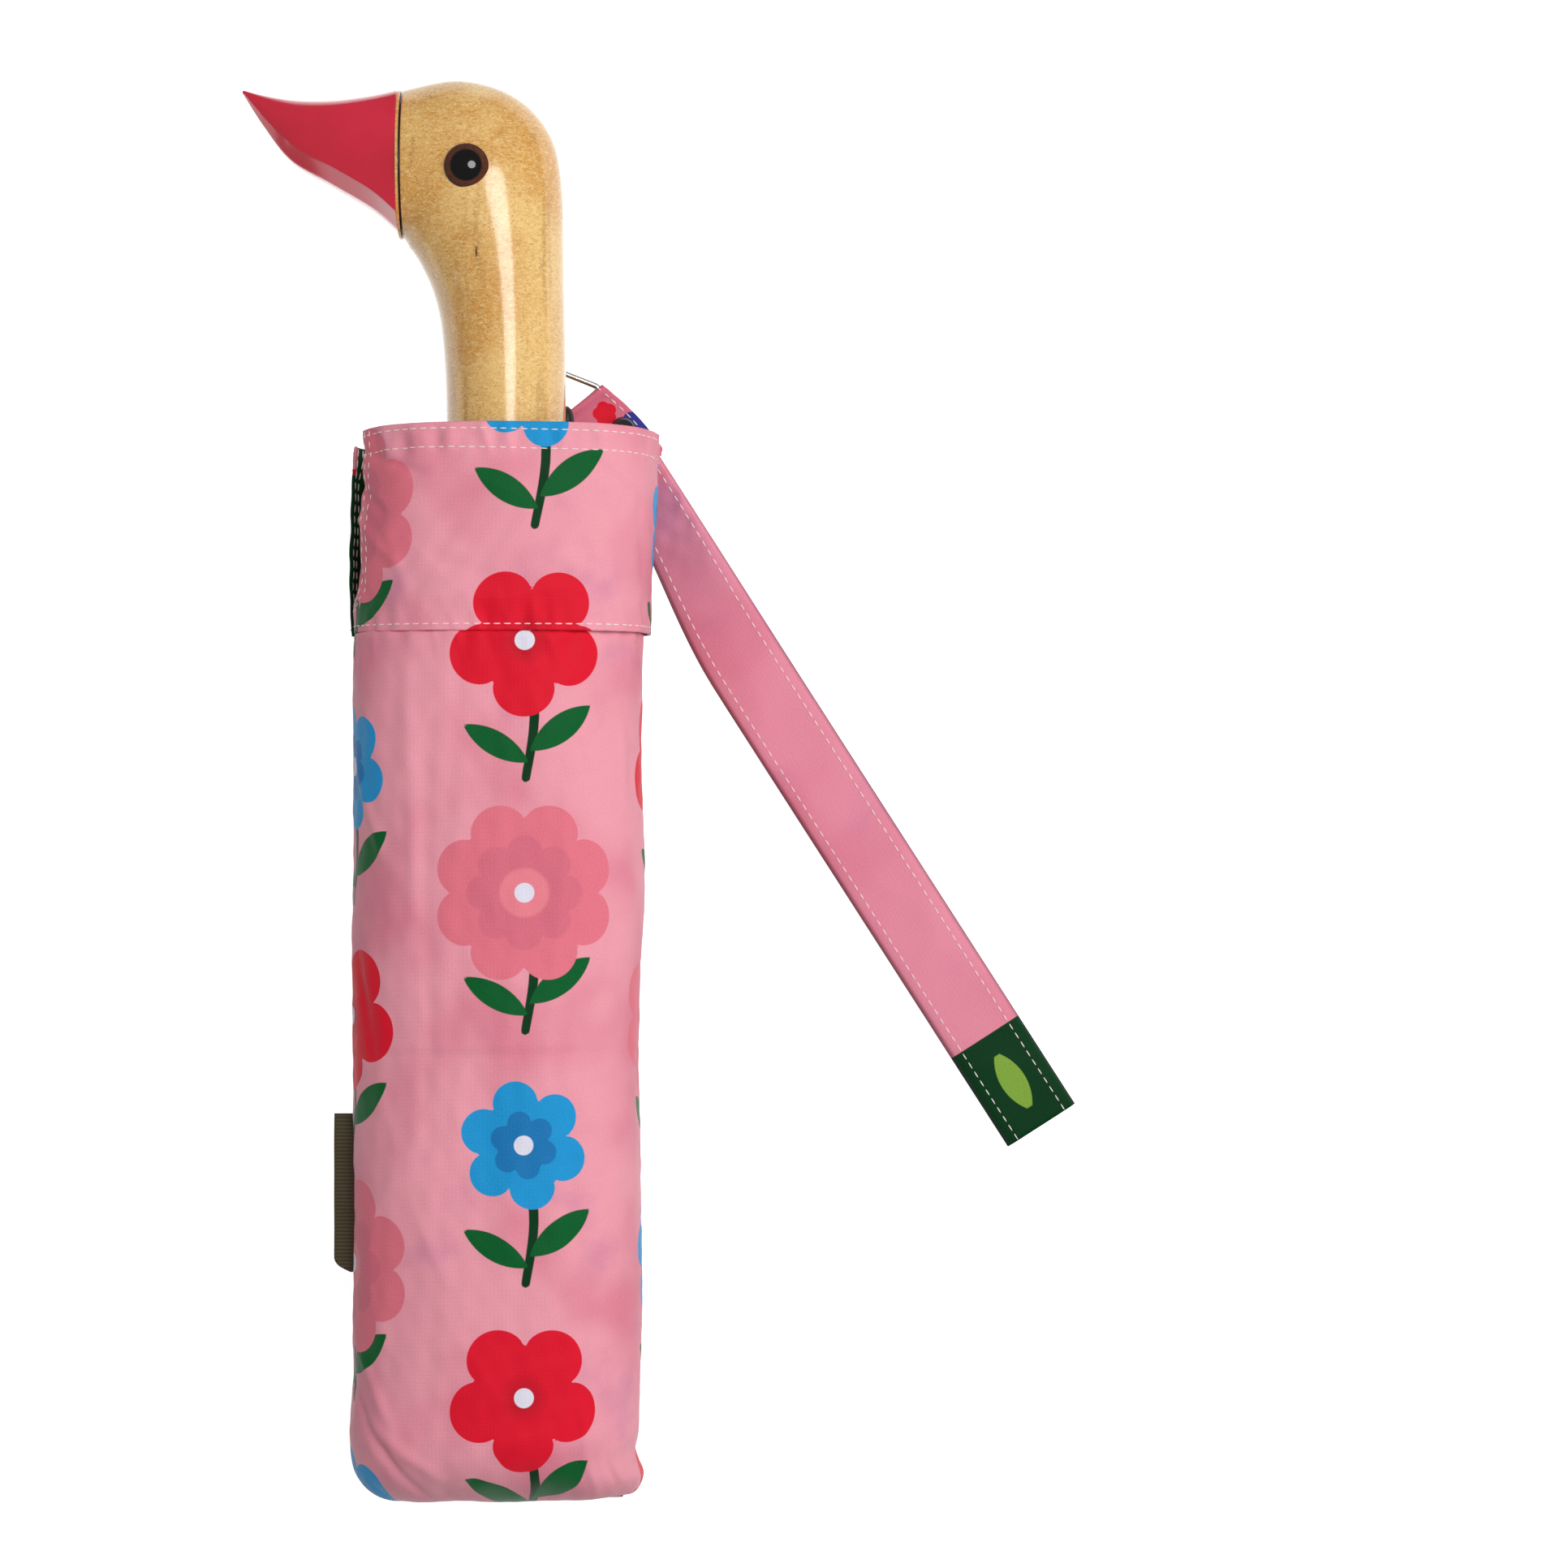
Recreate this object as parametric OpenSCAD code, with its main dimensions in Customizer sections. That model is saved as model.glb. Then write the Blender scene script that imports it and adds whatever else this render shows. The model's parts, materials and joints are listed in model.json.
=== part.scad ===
// Folding umbrella with a carved bird's-head handle, lying on its side, closed in its cloth sleeve.
// Millimetres. The shaft runs along Y, the head points to +Y, and Z is up from the surface it lies on.

/* [Shaft] */
// Height of the shaft's axis above the surface
axis_height = 27.5; // [27:0.5:33]
// Outer radius of the upper tube
tube_r = 6.2; // [5.8:0.1:6.6]
// Wall of both tubes
tube_wall = 0.9; // [0.7:0.1:1.2]
// Radial clearance where one piece slides on another
slide_gap = 0.08; // [0.05:0.01:0.1]
// Y of the crown's hinge circle
crown_y = -120; // [-125:1:-116]
// Length of tube from the crown's hinges to the handle
shaft_len = 248; // [244:1:254]

/* [Frame] */
// Number of ribs (the sub-parts below are numbered 1 to this)
rib_count = 8; // [8]
// Length of each rib section
rib_len = 262; // [255:1:266]
// Thickness of a rib's bar across its hinge axis
bar_t = 1.6; // [1.2:0.1:1.8]
// Depth of a rib's bar
bar_h = 2; // [1.6:0.1:2.2]
// Radius of the hinge circle in the crown and in the runner
hinge_r = 9; // [8.8:0.1:9.4]
// Tilt of the closed ribs away from the shaft, in degrees
closed_tilt = 2.08; // [2:0.02:2.3]
// Distance between the centre lines of the two folded rib sections
fold_gap = 3.8; // [3.6:0.1:4.2]
// Distance from the crown's hinge to the stretcher's joint
stretch_at = 105; // [100:1:110]
// Length of the stretcher
stretch_len = 118; // [114:1:122]
// Thickness of the stretcher
stretch_t = 1.2; // [1:0.1:1.4]
// Radius of the hinge pins
pin_r = 0.6; // [0.5:0.05:0.7]
// Radius of the eyes that the pins pass through
eye_r = 1.7; // [1.6:0.1:1.8]
// Radial clearance of a pin in its hole
pin_gap = 0.05; // [0.03:0.01:0.08]
// Side clearance between moving plates
side_gap = 0.2; // [0.15:0.05:0.3]

/* [Handle] */
// Radius of the neck
neck_r = 15.9; // [15:0.1:16.4]
// Depth of the socket for the lower tube
socket_depth = 32; // [20:1:40]
// Radius of an eye
bird_eye_r = 5.9; // [5:0.1:6.5]
// Travel of the telescoping shaft
shaft_travel = 190; // [150:5:195]

/* [Sleeve] */
// Length of the cloth sleeve
sleeve_len = 285.4; // [280:0.2:292]
// Width of the sleeve's body
sleeve_w = 76.7; // [74:0.1:82]
// Width of the doubled band at its mouth
band_w = 83; // [80:0.5:88]
// Length of the band
band_len = 52.3; // [40:0.1:60]
// Thickness of the closed sleeve
sleeve_h = 55; // [55:0.5:62]
// Wall of the sleeve cloth, with its seams
cloth = 1.2; // [0.8:0.1:1.4]
// Sideways place of the sleeve's body
sleeve_x = -2.4; // [-3:0.1:0]
// Sideways place of the band
band_x = -1.2; // [-3:0.1:0]
// Height of the slit in the band's left side
slit_h = 6; // [4:0.5:10]

/* [Strap] */
// Width of the strap
strap_w = 22; // [18:0.5:26]
// Thickness of the strap and of the ring tab
strap_t = 1.1; // [0.8:0.1:1.1]
// Length of the strap
strap_len = 210.8; // [180:1:230]
// Direction of the strap, in degrees from the -Y axis
strap_angle = 32; // [25:1:45]
// Radius of the ring's wire
wire_r = 1; // [0.8:0.1:1.2]
// Length of the ring
ring_len = 12.4; // [10:0.1:12.6]
// Radius of the press stud
stud_r = 3.7; // [3.2:0.1:4]

/* [Label] */
// Length of the side label
label_len = 42.5; // [30:0.5:50]
// How far the label stands out
label_out = 5.4; // [4:0.1:8]

/* [Hidden] */
$fn = 48;
crown_h = 8;
crown_r = hinge_r + 2;
hub_wall = 0.8;
slot_floor = tube_r + 1;
cap_len = 13;
knee_r = 2.6;
fork_t = 0.9;
knee_lift = fold_gap / 2;
neck_y = crown_y + shaft_len;
lower_r = tube_r - tube_wall - slide_gap;
lower_from = crown_y + 20;
// The stretcher hangs between the rib's joint and the runner's hinge circle.
joint_y = stretch_at * cos(closed_tilt);
joint_r = stretch_at * sin(closed_tilt);
stretch_tilt = asin(joint_r / stretch_len);
runner_y = crown_y + joint_y + stretch_len * cos(stretch_tilt);
runner_len = 20;
runner_r = tube_r + 2;
stretch_x = bar_t / 2 + side_gap + 0.1 + stretch_t / 2;
button_r = 2;
button_travel = 1;
mouth_y = sleeve_len / 2;
base_h = 6.5;
strap_root = [36.2, 136.2];
label_top = -39;

function rib_names(stem) = [for (i = [1:rib_count]) str(stem, i)];

// ---- helpers ----

// A local frame on the shaft: X along a rib's hinge axis, Y along the shaft, Z outwards at this azimuth.
module spoke(turn) translate([0, 0, axis_height]) rotate([0, 90 - turn, 0]) children();

// The same frame at rib i's crown hinge, tilted as the closed rib is.
module on_rib(i, offset = 0)
    spoke((i - 1) * 360 / rib_count + offset)
        translate([0, crown_y, hinge_r]) rotate([closed_tilt, 0, 0]) children();

// A round bar along Y from y0 to y1.
module rod(r, y0, y1) translate([0, y0, axis_height]) rotate([-90, 0, 0]) cylinder(h = y1 - y0, r = r);

// A disc or a hole across a rib, along local X.
module across(r, width, x = 0) translate([x, 0, 0]) rotate([0, 90, 0]) cylinder(h = width, r = r, center = true);

// A plate across a rib from y0 to y1, centred on height z.
module plate(width, y0, y1, height, x = 0, z = 0)
    translate([x - width / 2, y0, z - height / 2]) cube([width, y1 - y0, height]);

// A solid through closed rings of points that all have the same count.
module loft(rings) {
    n = len(rings[0]);
    last = len(rings) - 1;
    side = [for (k = [0:last - 1], j = [0:n - 1]) each [
        [k * n + j, (k + 1) * n + j, (k + 1) * n + (j + 1) % n],
        [k * n + j, (k + 1) * n + (j + 1) % n, k * n + (j + 1) % n]]];
    low = [for (j = [0:n - 1]) j];
    high = [for (j = [n - 1:-1:0]) last * n + j];
    polyhedron(points = [for (r = rings) each r], faces = concat(side, [low, high]), convexity = 6);
}

// An oval ring between an outer and an inner outline point, half as deep as the third value.
function oval(s, n = 28) = [for (j = [0:n - 1])
    let (a = 360 * j / n, m = (s[0] + s[1]) / 2, h = (s[0] - s[1]) / 2)
        [m[0] + h[0] * cos(a), m[1] + h[1] * cos(a), axis_height + s[2] * sin(a)]];

// ---- shaft ----

module slots(width, x, y0, y1)
    for (i = [0:rib_count - 1]) spoke(i * 360 / rib_count)
        translate([x - width / 2, y0, slot_floor]) cube([width, y1 - y0, crown_r]);

module pin_holes(y, length, x = 0)
    for (i = [0:rib_count - 1]) spoke(i * 360 / rib_count)
        translate([0, y, hinge_r]) across(pin_r + pin_gap, length, x);

module crown() color("#1c1c1e") difference() {
    rod(crown_r, crown_y - crown_h / 2, crown_y + crown_h / 2);
    rod(tube_r, crown_y - crown_h, crown_y + crown_h);
    slots(bar_t + 2 * side_gap, 0, crown_y - eye_r - 0.5, crown_y + crown_h);
    pin_holes(crown_y, 4.6);
}

module crown_cap() color("#1c1c1e") translate([0, crown_y - crown_h / 2, axis_height]) rotate([90, 0, 0])
    rotate_extrude() union() {
        square([crown_r - 2, cap_len - 5]);
        translate([0, cap_len - 5]) intersection() {
            circle(r = 5);
            square(5);
        }
    }

module upper_tube() color("#9a9da2") difference() {
    rod(tube_r, crown_y - crown_h / 2, neck_y - 4);
    rod(tube_r - tube_wall, crown_y - crown_h / 2 + 1, neck_y);
}

module lower_tube() color("#b4b7bc") difference() {
    rod(lower_r, lower_from, neck_y + socket_depth);
    rod(lower_r - tube_wall, lower_from - 1, neck_y + socket_depth - 1);
}

// ---- runner ----

module runner() color("#1c1c1e") difference() {
    union() {
        rod(crown_r, runner_y - crown_h / 2, runner_y + crown_h / 2);
        rod(runner_r, runner_y, runner_y + runner_len);
    }
    rod(tube_r + slide_gap, runner_y - crown_h, runner_y + 2 * runner_len);
    slots(stretch_t + 2 * side_gap, stretch_x, runner_y - crown_h, runner_y + eye_r + 0.5);
    pin_holes(runner_y, stretch_t + 2.4, stretch_x);
    spoke(67.5) translate([0, runner_y + 12, tube_r]) cylinder(h = 5, r = button_r + slide_gap);
}

module runner_button() color("#8e9196") spoke(67.5)
    translate([0, runner_y + 12, tube_r + slide_gap + button_travel + 0.1]) cylinder(h = 2, r = button_r);

// ---- ribs ----

module inner_rib(i) color("#3a3c40") on_rib(i) difference() {
    union() {
        plate(bar_t, 0, rib_len, bar_h);
        across(eye_r, bar_t);
        across(pin_r, 4.4);
        translate([0, stretch_at, 0]) across(eye_r, bar_t);
        translate([0, rib_len, knee_lift]) across(knee_r, bar_t);
    }
    translate([0, stretch_at, 0]) across(pin_r, 2 * bar_t);
    translate([0, rib_len, knee_lift]) across(pin_r + pin_gap, 2 * bar_t);
}

module outer_rib(i) color("#3a3c40") on_rib(i) translate([0, rib_len, knee_lift]) {
    fork_x = bar_t / 2 + side_gap + fork_t / 2;
    for (s = [-1, 1]) {
        across(knee_r - 0.3, fork_t, s * fork_x);
        plate(fork_t, -7.5, 0, bar_h, s * fork_x, knee_lift);
    }
    across(pin_r, 2 * fork_x);
    plate(2 * fork_x + fork_t, -7.5, -4.4, bar_h, 0, knee_lift);
    plate(bar_t, -rib_len, -5, bar_h, 0, knee_lift);
    translate([0, -rib_len, knee_lift]) sphere(r = 1.4, $fn = 24);
}

module stretcher(i) color("#3a3c40") spoke((i - 1) * 360 / rib_count)
    translate([0, runner_y, hinge_r]) rotate([180 - stretch_tilt, 0, 0]) {
        plate(stretch_t, 0, stretch_len, bar_h, stretch_x);
        across(eye_r, stretch_t, stretch_x);
        across(pin_r, stretch_t + 2.2, stretch_x);
        translate([0, stretch_len, 0]) {
            across(eye_r, stretch_t, stretch_x);
            across(1.1, 0.5, stretch_x + stretch_t / 2 + 0.25);
        }
    }

// ---- folded canopy, one pleat of each half gore to a rib ----

module canopy_inner(i) color("#e58a9d") on_rib(i, 180 / rib_count)
    plate(5, 12, rib_len - 14, 1.2, 0, fold_gap - 0.3);

module canopy_outer(i) color("#e58a9d") on_rib(i, 180 / rib_count)
    plate(9.6, 6, rib_len - 12, 1.2, 0, fold_gap + 2);

// ---- handle ----

// Outline stations from the neck round the back of the head to the beak: outer point, inner point, half depth.
head_stations = [
    [[neck_r, neck_y], [-neck_r, neck_y], neck_r],
    [[neck_r, neck_y + 32], [-neck_r - 0.4, neck_y + 32], neck_r],
    [[15.7, 185], [-17.6, 174], 15.9],
    [[15.4, 200], [-19.8, 183], 16],
    [[15, 211], [-22.6, 188.6], 16.3],
    [[13.2, 221], [-24.7, 191.6], 16.5],
    [[7.5, 229.8], [-26, 193.3], 16.3],
    [[-2, 235.8], [-26.8, 194.4], 15.6],
    [[-13, 237.8], [-27.3, 195.2], 14.6],
    [[-27.5, 235.2], [-27.5, 196], 13],
];
beak_stations = [
    [[-27.5, 235.2], [-27.5, 196], 13],
    [[-36, 233.7], [-34.5, 202.5], 11],
    [[-46, 232.9], [-46, 209.5], 8.5],
    [[-56, 233.2], [-57, 216], 5.5],
    [[-64, 234.3], [-65, 225], 3],
    [[-70.6, 235.6], [-70.9, 234.6], 0.6],
];
bird_eye = [-9.4, 212.7];
bird_eye_floor = 13;
bird_eye_top = 16.9;

module handle_collar() color("#1c1c1e") difference() {
    rod(9, neck_y - 3.5, neck_y);
    rod(lower_r + 0.02, neck_y - 5, neck_y + 1);
}

module head() color("#e3be83") difference() {
    loft([for (s = head_stations) oval(s)]);
    rod(lower_r + 0.02, neck_y - 1, neck_y + socket_depth + 1);
    for (s = [-1, 1]) translate([bird_eye[0], bird_eye[1], axis_height + s * (bird_eye_floor + 5)])
        cylinder(h = 10, r = bird_eye_r + 0.05, center = true);
}

module beak() color("#c8203f") loft([for (s = beak_stations) oval(s)]);

module eyes() color("#17110f") for (s = [-1, 1])
    translate([bird_eye[0], bird_eye[1], axis_height + s * (bird_eye_floor + bird_eye_top) / 2])
        cylinder(h = bird_eye_top - bird_eye_floor, r = bird_eye_r, center = true);

// ---- sleeve ----

// The sleeve's cross-section: a soft oval, flattened where it lies.
module section(width, x, inset) {
    a = width / 2;
    b = sleeve_h / 2 + 1;
    polygon([for (j = [0:47])
        let (t = 7.5 * j + 3.75, c = cos(t), s = sin(t), r = pow(pow(abs(c), 3) + pow(abs(s), 3), -1 / 3))
            [x + (a - inset) * r * c,
             min(max(sleeve_h / 2 + b * r * s, inset), sleeve_h - inset)]]);
}

module cloth_tube(width, x, y0, y1) translate([0, y1, 0]) rotate([90, 0, 0]) linear_extrude(y1 - y0) difference() {
    section(width, x, 0);
    section(width, x, cloth);
}

module sleeve_body() color("#ec97aa")
    cloth_tube(sleeve_w, sleeve_x, base_h - mouth_y, mouth_y - band_len);

module sleeve_band() color("#f2a3b3") difference() {
    cloth_tube(band_w, band_x, mouth_y - band_len, mouth_y);
    translate([band_x - band_w, mouth_y - band_len + 2, axis_height - slit_h / 2]) cube([band_w - 30, band_len, slit_h]);
}

module sleeve_base() color("#ec97aa") translate([0, base_h - mouth_y, 0]) rotate([90, 0, 0]) difference() {
    linear_extrude(base_h) section(sleeve_w, sleeve_x, 0);
    translate([0, 0, -1]) linear_extrude(base_h + 1 - cloth) section(sleeve_w, sleeve_x, cloth);
}

module label_tab() color("#3f3416")
    translate([sleeve_x - sleeve_w / 2 - 0.05 - label_out, label_top - label_len, axis_height - 0.4])
        cube([label_out, label_len, 0.8]);

// ---- strap, ring tab and ring ----

module strap() color("#ec97aa") translate([strap_root[0], strap_root[1], 0]) rotate(strap_angle - 90)
    translate([0, -strap_w / 2, 0]) cube([strap_len, strap_w, strap_t]);

tab_z = strap_t + 0.1;
ring_a = [14, 149.6];
ring_b = [24.3, 158.3];
ring_way = [-0.93, 0.366];

module ring_tab() color("#d9667f") translate([0, 0, tab_z]) linear_extrude(strap_t)
    polygon([ring_a + [1.8, -0.8], ring_b + [1.8, -0.8], [42.4, 141.4], [36.5, mouth_y + 0.3], [20, mouth_y + 0.3]]);

// A four-sided loop of wire, its short side along the tab's fold.
module ring() color("#d5d8dc") translate([0, 0, tab_z]) linear_extrude(2 * wire_r) difference() {
    far = ring_len * ring_way;
    fold = (ring_b - ring_a) / norm(ring_b - ring_a);
    inset = wire_r * (fold + ring_way);
    skew = wire_r * (fold - ring_way);
    polygon([ring_a - inset, ring_b + skew, ring_b + far + inset, ring_a + far - skew]);
    polygon([ring_a + inset, ring_b - skew, ring_b + far - inset, ring_a + far + skew]);
}

module press_stud() color("#0e0e10") translate([30.2, mouth_y + stud_r + 0.2, tab_z + strap_t])
    rotate_extrude() intersection() {
        translate([0, -3.2]) circle(r = stud_r + 1.1);
        square([stud_r, 2.4]);
    }

// ---- assembly ----

crown();
crown_cap();
upper_tube();
runner();
runner_button();
lower_tube();
handle_collar();
head();
beak();
eyes();
for (i = [1:rib_count]) {
    inner_rib(i);
    outer_rib(i);
    stretcher(i);
    canopy_inner(i);
    canopy_outer(i);
}
sleeve_body();
sleeve_band();
sleeve_base();
label_tab();
strap();
ring_tab();
ring();
press_stud();
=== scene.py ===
import json
import math

import bmesh
import bpy
import numpy as np
from mathutils import Matrix, Vector


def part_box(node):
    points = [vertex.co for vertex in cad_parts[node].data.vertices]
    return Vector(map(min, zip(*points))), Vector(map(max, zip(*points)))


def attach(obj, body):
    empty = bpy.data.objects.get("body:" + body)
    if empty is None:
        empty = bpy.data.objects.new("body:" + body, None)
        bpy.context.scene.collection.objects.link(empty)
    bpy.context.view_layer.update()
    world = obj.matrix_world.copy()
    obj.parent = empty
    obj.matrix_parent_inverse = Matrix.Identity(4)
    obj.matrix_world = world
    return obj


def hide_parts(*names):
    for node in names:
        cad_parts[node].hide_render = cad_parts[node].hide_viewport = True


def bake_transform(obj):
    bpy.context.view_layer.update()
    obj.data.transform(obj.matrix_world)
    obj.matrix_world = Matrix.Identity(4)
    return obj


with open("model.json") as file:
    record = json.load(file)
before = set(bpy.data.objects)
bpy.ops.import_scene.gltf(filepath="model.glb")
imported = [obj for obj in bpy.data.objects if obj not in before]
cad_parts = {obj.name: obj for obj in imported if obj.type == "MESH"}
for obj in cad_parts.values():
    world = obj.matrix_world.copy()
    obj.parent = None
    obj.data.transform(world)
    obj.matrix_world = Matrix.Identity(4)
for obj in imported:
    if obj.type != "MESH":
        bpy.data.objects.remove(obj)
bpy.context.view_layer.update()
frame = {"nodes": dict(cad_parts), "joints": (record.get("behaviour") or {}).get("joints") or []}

scene = bpy.context.scene
MM = 0.001

# ------------------------------------------------ places taken from the frame, in mm

def box_mm(node):
    low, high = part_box(node)
    return np.array(low) / MM, np.array(high) / MM


AXIS_Z = float(box_mm("upper_tube")[0][2] + box_mm("upper_tube")[1][2]) / 2
NECK_R = (box_mm("head")[1][2] - box_mm("head")[0][2]) / 2 - 0.6
NECK_Y = float(box_mm("head")[0][1])
BASE_Y = float(box_mm("sleeve_base")[0][1])
SEAM_Y = float(box_mm("sleeve_body")[1][1])
MOUTH_Y = float(box_mm("sleeve_band")[1][1])
SLEEVE_LEFT = float(box_mm("sleeve_body")[0][0])
SLEEVE_RIGHT = float(box_mm("sleeve_body")[1][0])
BAND_LEFT = float(box_mm("sleeve_band")[0][0])
SLEEVE_TOP = float(box_mm("sleeve_body")[1][2])
STRAP_T = float(box_mm("strap")[1][2])
FLECK = (-6.8 * MM, 190.0 * MM, 43.0 * MM)

# ------------------------------------------------ small helpers

def colour(code):
    """An sRGB hex colour as linear RGBA."""
    parts = [int(code[k:k + 2], 16) / 255 for k in (1, 3, 5)]
    return tuple(c / 12.92 if c <= 0.04045 else ((c + 0.055) / 1.055) ** 2.4 for c in parts) + (1.0,)


def add(tree, kind, inputs=None, **settings):
    """A node with its settings; inputs maps a socket's name or number to a value or to another socket."""
    node = tree.nodes.new(kind)
    for key, value in settings.items():
        setattr(node, key, value)
    for key, value in (inputs or {}).items():
        socket = node.inputs[key]
        if isinstance(value, bpy.types.NodeSocket):
            tree.links.new(value, socket)
        else:
            socket.default_value = value
    return node


def mesh_object(name, points, faces, material, smooth=True):
    """A mesh object from points in mm."""
    mesh = bpy.data.meshes.new(name)
    mesh.from_pydata((np.asarray(points, float) * MM).tolist(), [], [list(map(int, f)) for f in faces])
    mesh.materials.append(material)
    mesh.validate()
    if smooth:
        mesh.shade_smooth()
    made = bpy.data.objects.new(name, mesh)
    scene.collection.objects.link(made)
    return made


def grid_faces(rows, columns, wrap=False, start=0):
    """Quads of a grid of points stored row by row."""
    last = columns if wrap else columns - 1
    return [
        (
            start + r * columns + c,
            start + r * columns + (c + 1) % columns,
            start + (r + 1) * columns + (c + 1) % columns,
            start + (r + 1) * columns + c,
        )
        for r in range(rows - 1)
        for c in range(last)
    ]


def face_out(made):
    """Turns a closed mesh's faces outwards."""
    bm = bmesh.new()
    bm.from_mesh(made.data)
    bmesh.ops.remove_doubles(bm, verts=bm.verts, dist=1e-7)
    bmesh.ops.recalc_face_normals(bm, faces=bm.faces)
    bm.to_mesh(made.data)
    bm.free()
    return made


def baked(made):
    """Replaces an object's mesh by its evaluated one, so that no modifier is left."""
    graph = bpy.context.evaluated_depsgraph_get()
    mesh = bpy.data.meshes.new_from_object(made.evaluated_get(graph))
    old = made.data
    made.modifiers.clear()
    made.data = mesh
    bpy.data.meshes.remove(old)
    mesh.name = made.name
    return made


def thicken(made, thickness, offset):
    """Gives a cloth surface its thickness; offset -1 goes inwards from the surface."""
    wall = made.modifiers.new("wall", "SOLIDIFY")
    wall.thickness = thickness * MM
    wall.offset = offset
    wall.use_even_offset = False
    return baked(made)


def spline(points, count, closed=False):
    """A smooth curve of count points through a few."""
    pts = np.asarray(points, float)
    n = len(pts)
    spans = n if closed else n - 1
    out = []
    for k in range(count):
        t = k * spans / (count if closed else count - 1)
        i = min(int(t), spans - 1)
        f = t - i
        if closed:
            p0, p1, p2, p3 = (pts[(i + d) % n] for d in (-1, 0, 1, 2))
        else:
            p0, p1, p2, p3 = (pts[min(max(i + d, 0), n - 1)] for d in (-1, 0, 1, 2))
        out.append(0.5 * (2 * p1 + (p2 - p0) * f + (2 * p0 - 5 * p1 + 4 * p2 - p3) * f ** 2
                          + (3 * p1 - p0 - 3 * p2 + p3) * f ** 3))
    return np.array(out)


def ripple(x, y, wavelength, seed, waves=9):
    """A smooth random height between about -1 and 1."""
    rng = np.random.RandomState(seed)
    total = np.zeros(np.broadcast(x, y).shape)
    for _ in range(waves):
        turn = rng.uniform(0, math.pi)
        length = wavelength * rng.uniform(0.7, 1.4)
        across = x * math.cos(turn) + y * math.sin(turn)
        total += np.sin(across * math.tau / length + rng.uniform(0, math.tau))
    return total / math.sqrt(waves) * 0.8


def folds(x, y, wavelength, seed):
    """Like ripple, but with narrow ridges between broad hollows, as creased cloth has."""
    return 0.55 - 1.5 * np.abs(ripple(x, y, wavelength, seed)) ** 0.75


def smooth_step(x, low, high):
    t = np.clip((x - low) / (high - low), 0, 1)
    return t * t * (3 - 2 * t)


# ------------------------------------------------ flat shapes for the print: signed distances in mm

def polygon(points):
    pts = np.asarray(points, float)

    def distance(x, y):
        best = np.full(x.shape, 1e9)
        inside = np.zeros(x.shape, bool)
        for a, b in zip(pts, np.roll(pts, -1, 0)):
            d = b - a
            t = np.clip(((x - a[0]) * d[0] + (y - a[1]) * d[1]) / max(d @ d, 1e-9), 0, 1)
            best = np.minimum(best, (x - a[0] - t * d[0]) ** 2 + (y - a[1] - t * d[1]) ** 2)
            crosses = (a[1] > y) != (b[1] > y)
            with np.errstate(divide="ignore", invalid="ignore"):
                at = a[0] + (y - a[1]) * d[0] / d[1] if d[1] else np.inf
            inside ^= crosses & (x < at)
        return np.where(inside, -np.sqrt(best), np.sqrt(best))

    return distance


def stroke(points, width, taper=1.0):
    """A line of this width through the points; taper is the far end's share of the width."""
    pts = np.asarray(points, float)

    def distance(x, y):
        best = np.full(x.shape, 1e9)
        for k, (a, b) in enumerate(zip(pts[:-1], pts[1:])):
            d = b - a
            t = np.clip(((x - a[0]) * d[0] + (y - a[1]) * d[1]) / max(d @ d, 1e-9), 0, 1)
            share = 1 + (taper - 1) * (k + t) / (len(pts) - 1)
            best = np.minimum(best, np.hypot(x - a[0] - t * d[0], y - a[1] - t * d[1]) - width * share / 2)
        return best

    return distance


def disc(centre, radius, squash=1.0):
    return lambda x, y: np.hypot(x - centre[0], (y - centre[1]) / squash) - radius


def joined(*shapes):
    return lambda x, y: np.minimum.reduce([s(x, y) for s in shapes])


def common(a, b):
    return lambda x, y: np.maximum(a(x, y), b(x, y))


def outside(shape):
    return lambda x, y: -shape(x, y)


def bloom(centre, radius, petals, depth, turn=0.0, stretch=1.0):
    """A round flower head whose edge is cut into petals."""

    def distance(x, y):
        dx, dy = x - centre[0], (y - centre[1]) / stretch
        angle = np.arctan2(dy, dx) - turn
        edge = radius * (1 - depth * (1 - np.abs(np.sin(angle * petals / 2)) ** 0.6))
        return np.hypot(dx, dy) - edge

    return distance


# ------------------------------------------------ materials

CLOTH_PINK = "#F19BAA"
CLOTH_ROSE = "#D66B83"
CLOTH_LILAC = "#C4769C"
PRINT_COLOURS = {
    "coral": "#E67384",
    "coral_deep": "#DA6C7F",
    "coral_pale": "#ED7F8C",
    "petal_red": "#E2142D",
    "petal_dark": "#8E1520",
    "stem": "#043618",
    "leaf": "#045A28",
    "sky": "#1F93D3",
    "sky_deep": "#1C74B4",
    "lime": "#7DA53C",
    "navy": "#33378F",
    "white": "#E4E0F0",
}


def surface(name, **values):
    """A material, its tree and its main shader; plain values are set on the shader's own sockets."""
    material = bpy.data.materials.new(name)
    material.use_nodes = True
    tree = material.node_tree
    shader = tree.nodes["Principled BSDF"]
    for key, value in values.items():
        shader.inputs[key.replace("_", " ")].default_value = value
    return material, tree, shader


def mix(tree, factor, first, second, blend="MIX"):
    node = add(tree, "ShaderNodeMix", {"Factor": factor}, data_type="RGBA", blend_type=blend)
    for socket, value in ((node.inputs[6], first), (node.inputs[7], second)):
        if isinstance(value, bpy.types.NodeSocket):
            tree.links.new(value, socket)
        else:
            socket.default_value = colour(value)
    return node.outputs[2]


def ramp(tree, value, low, high):
    step = add(tree, "ShaderNodeMapRange", {0: value, 1: low, 2: high}, interpolation_type="SMOOTHSTEP")
    return step.outputs[0]


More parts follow.
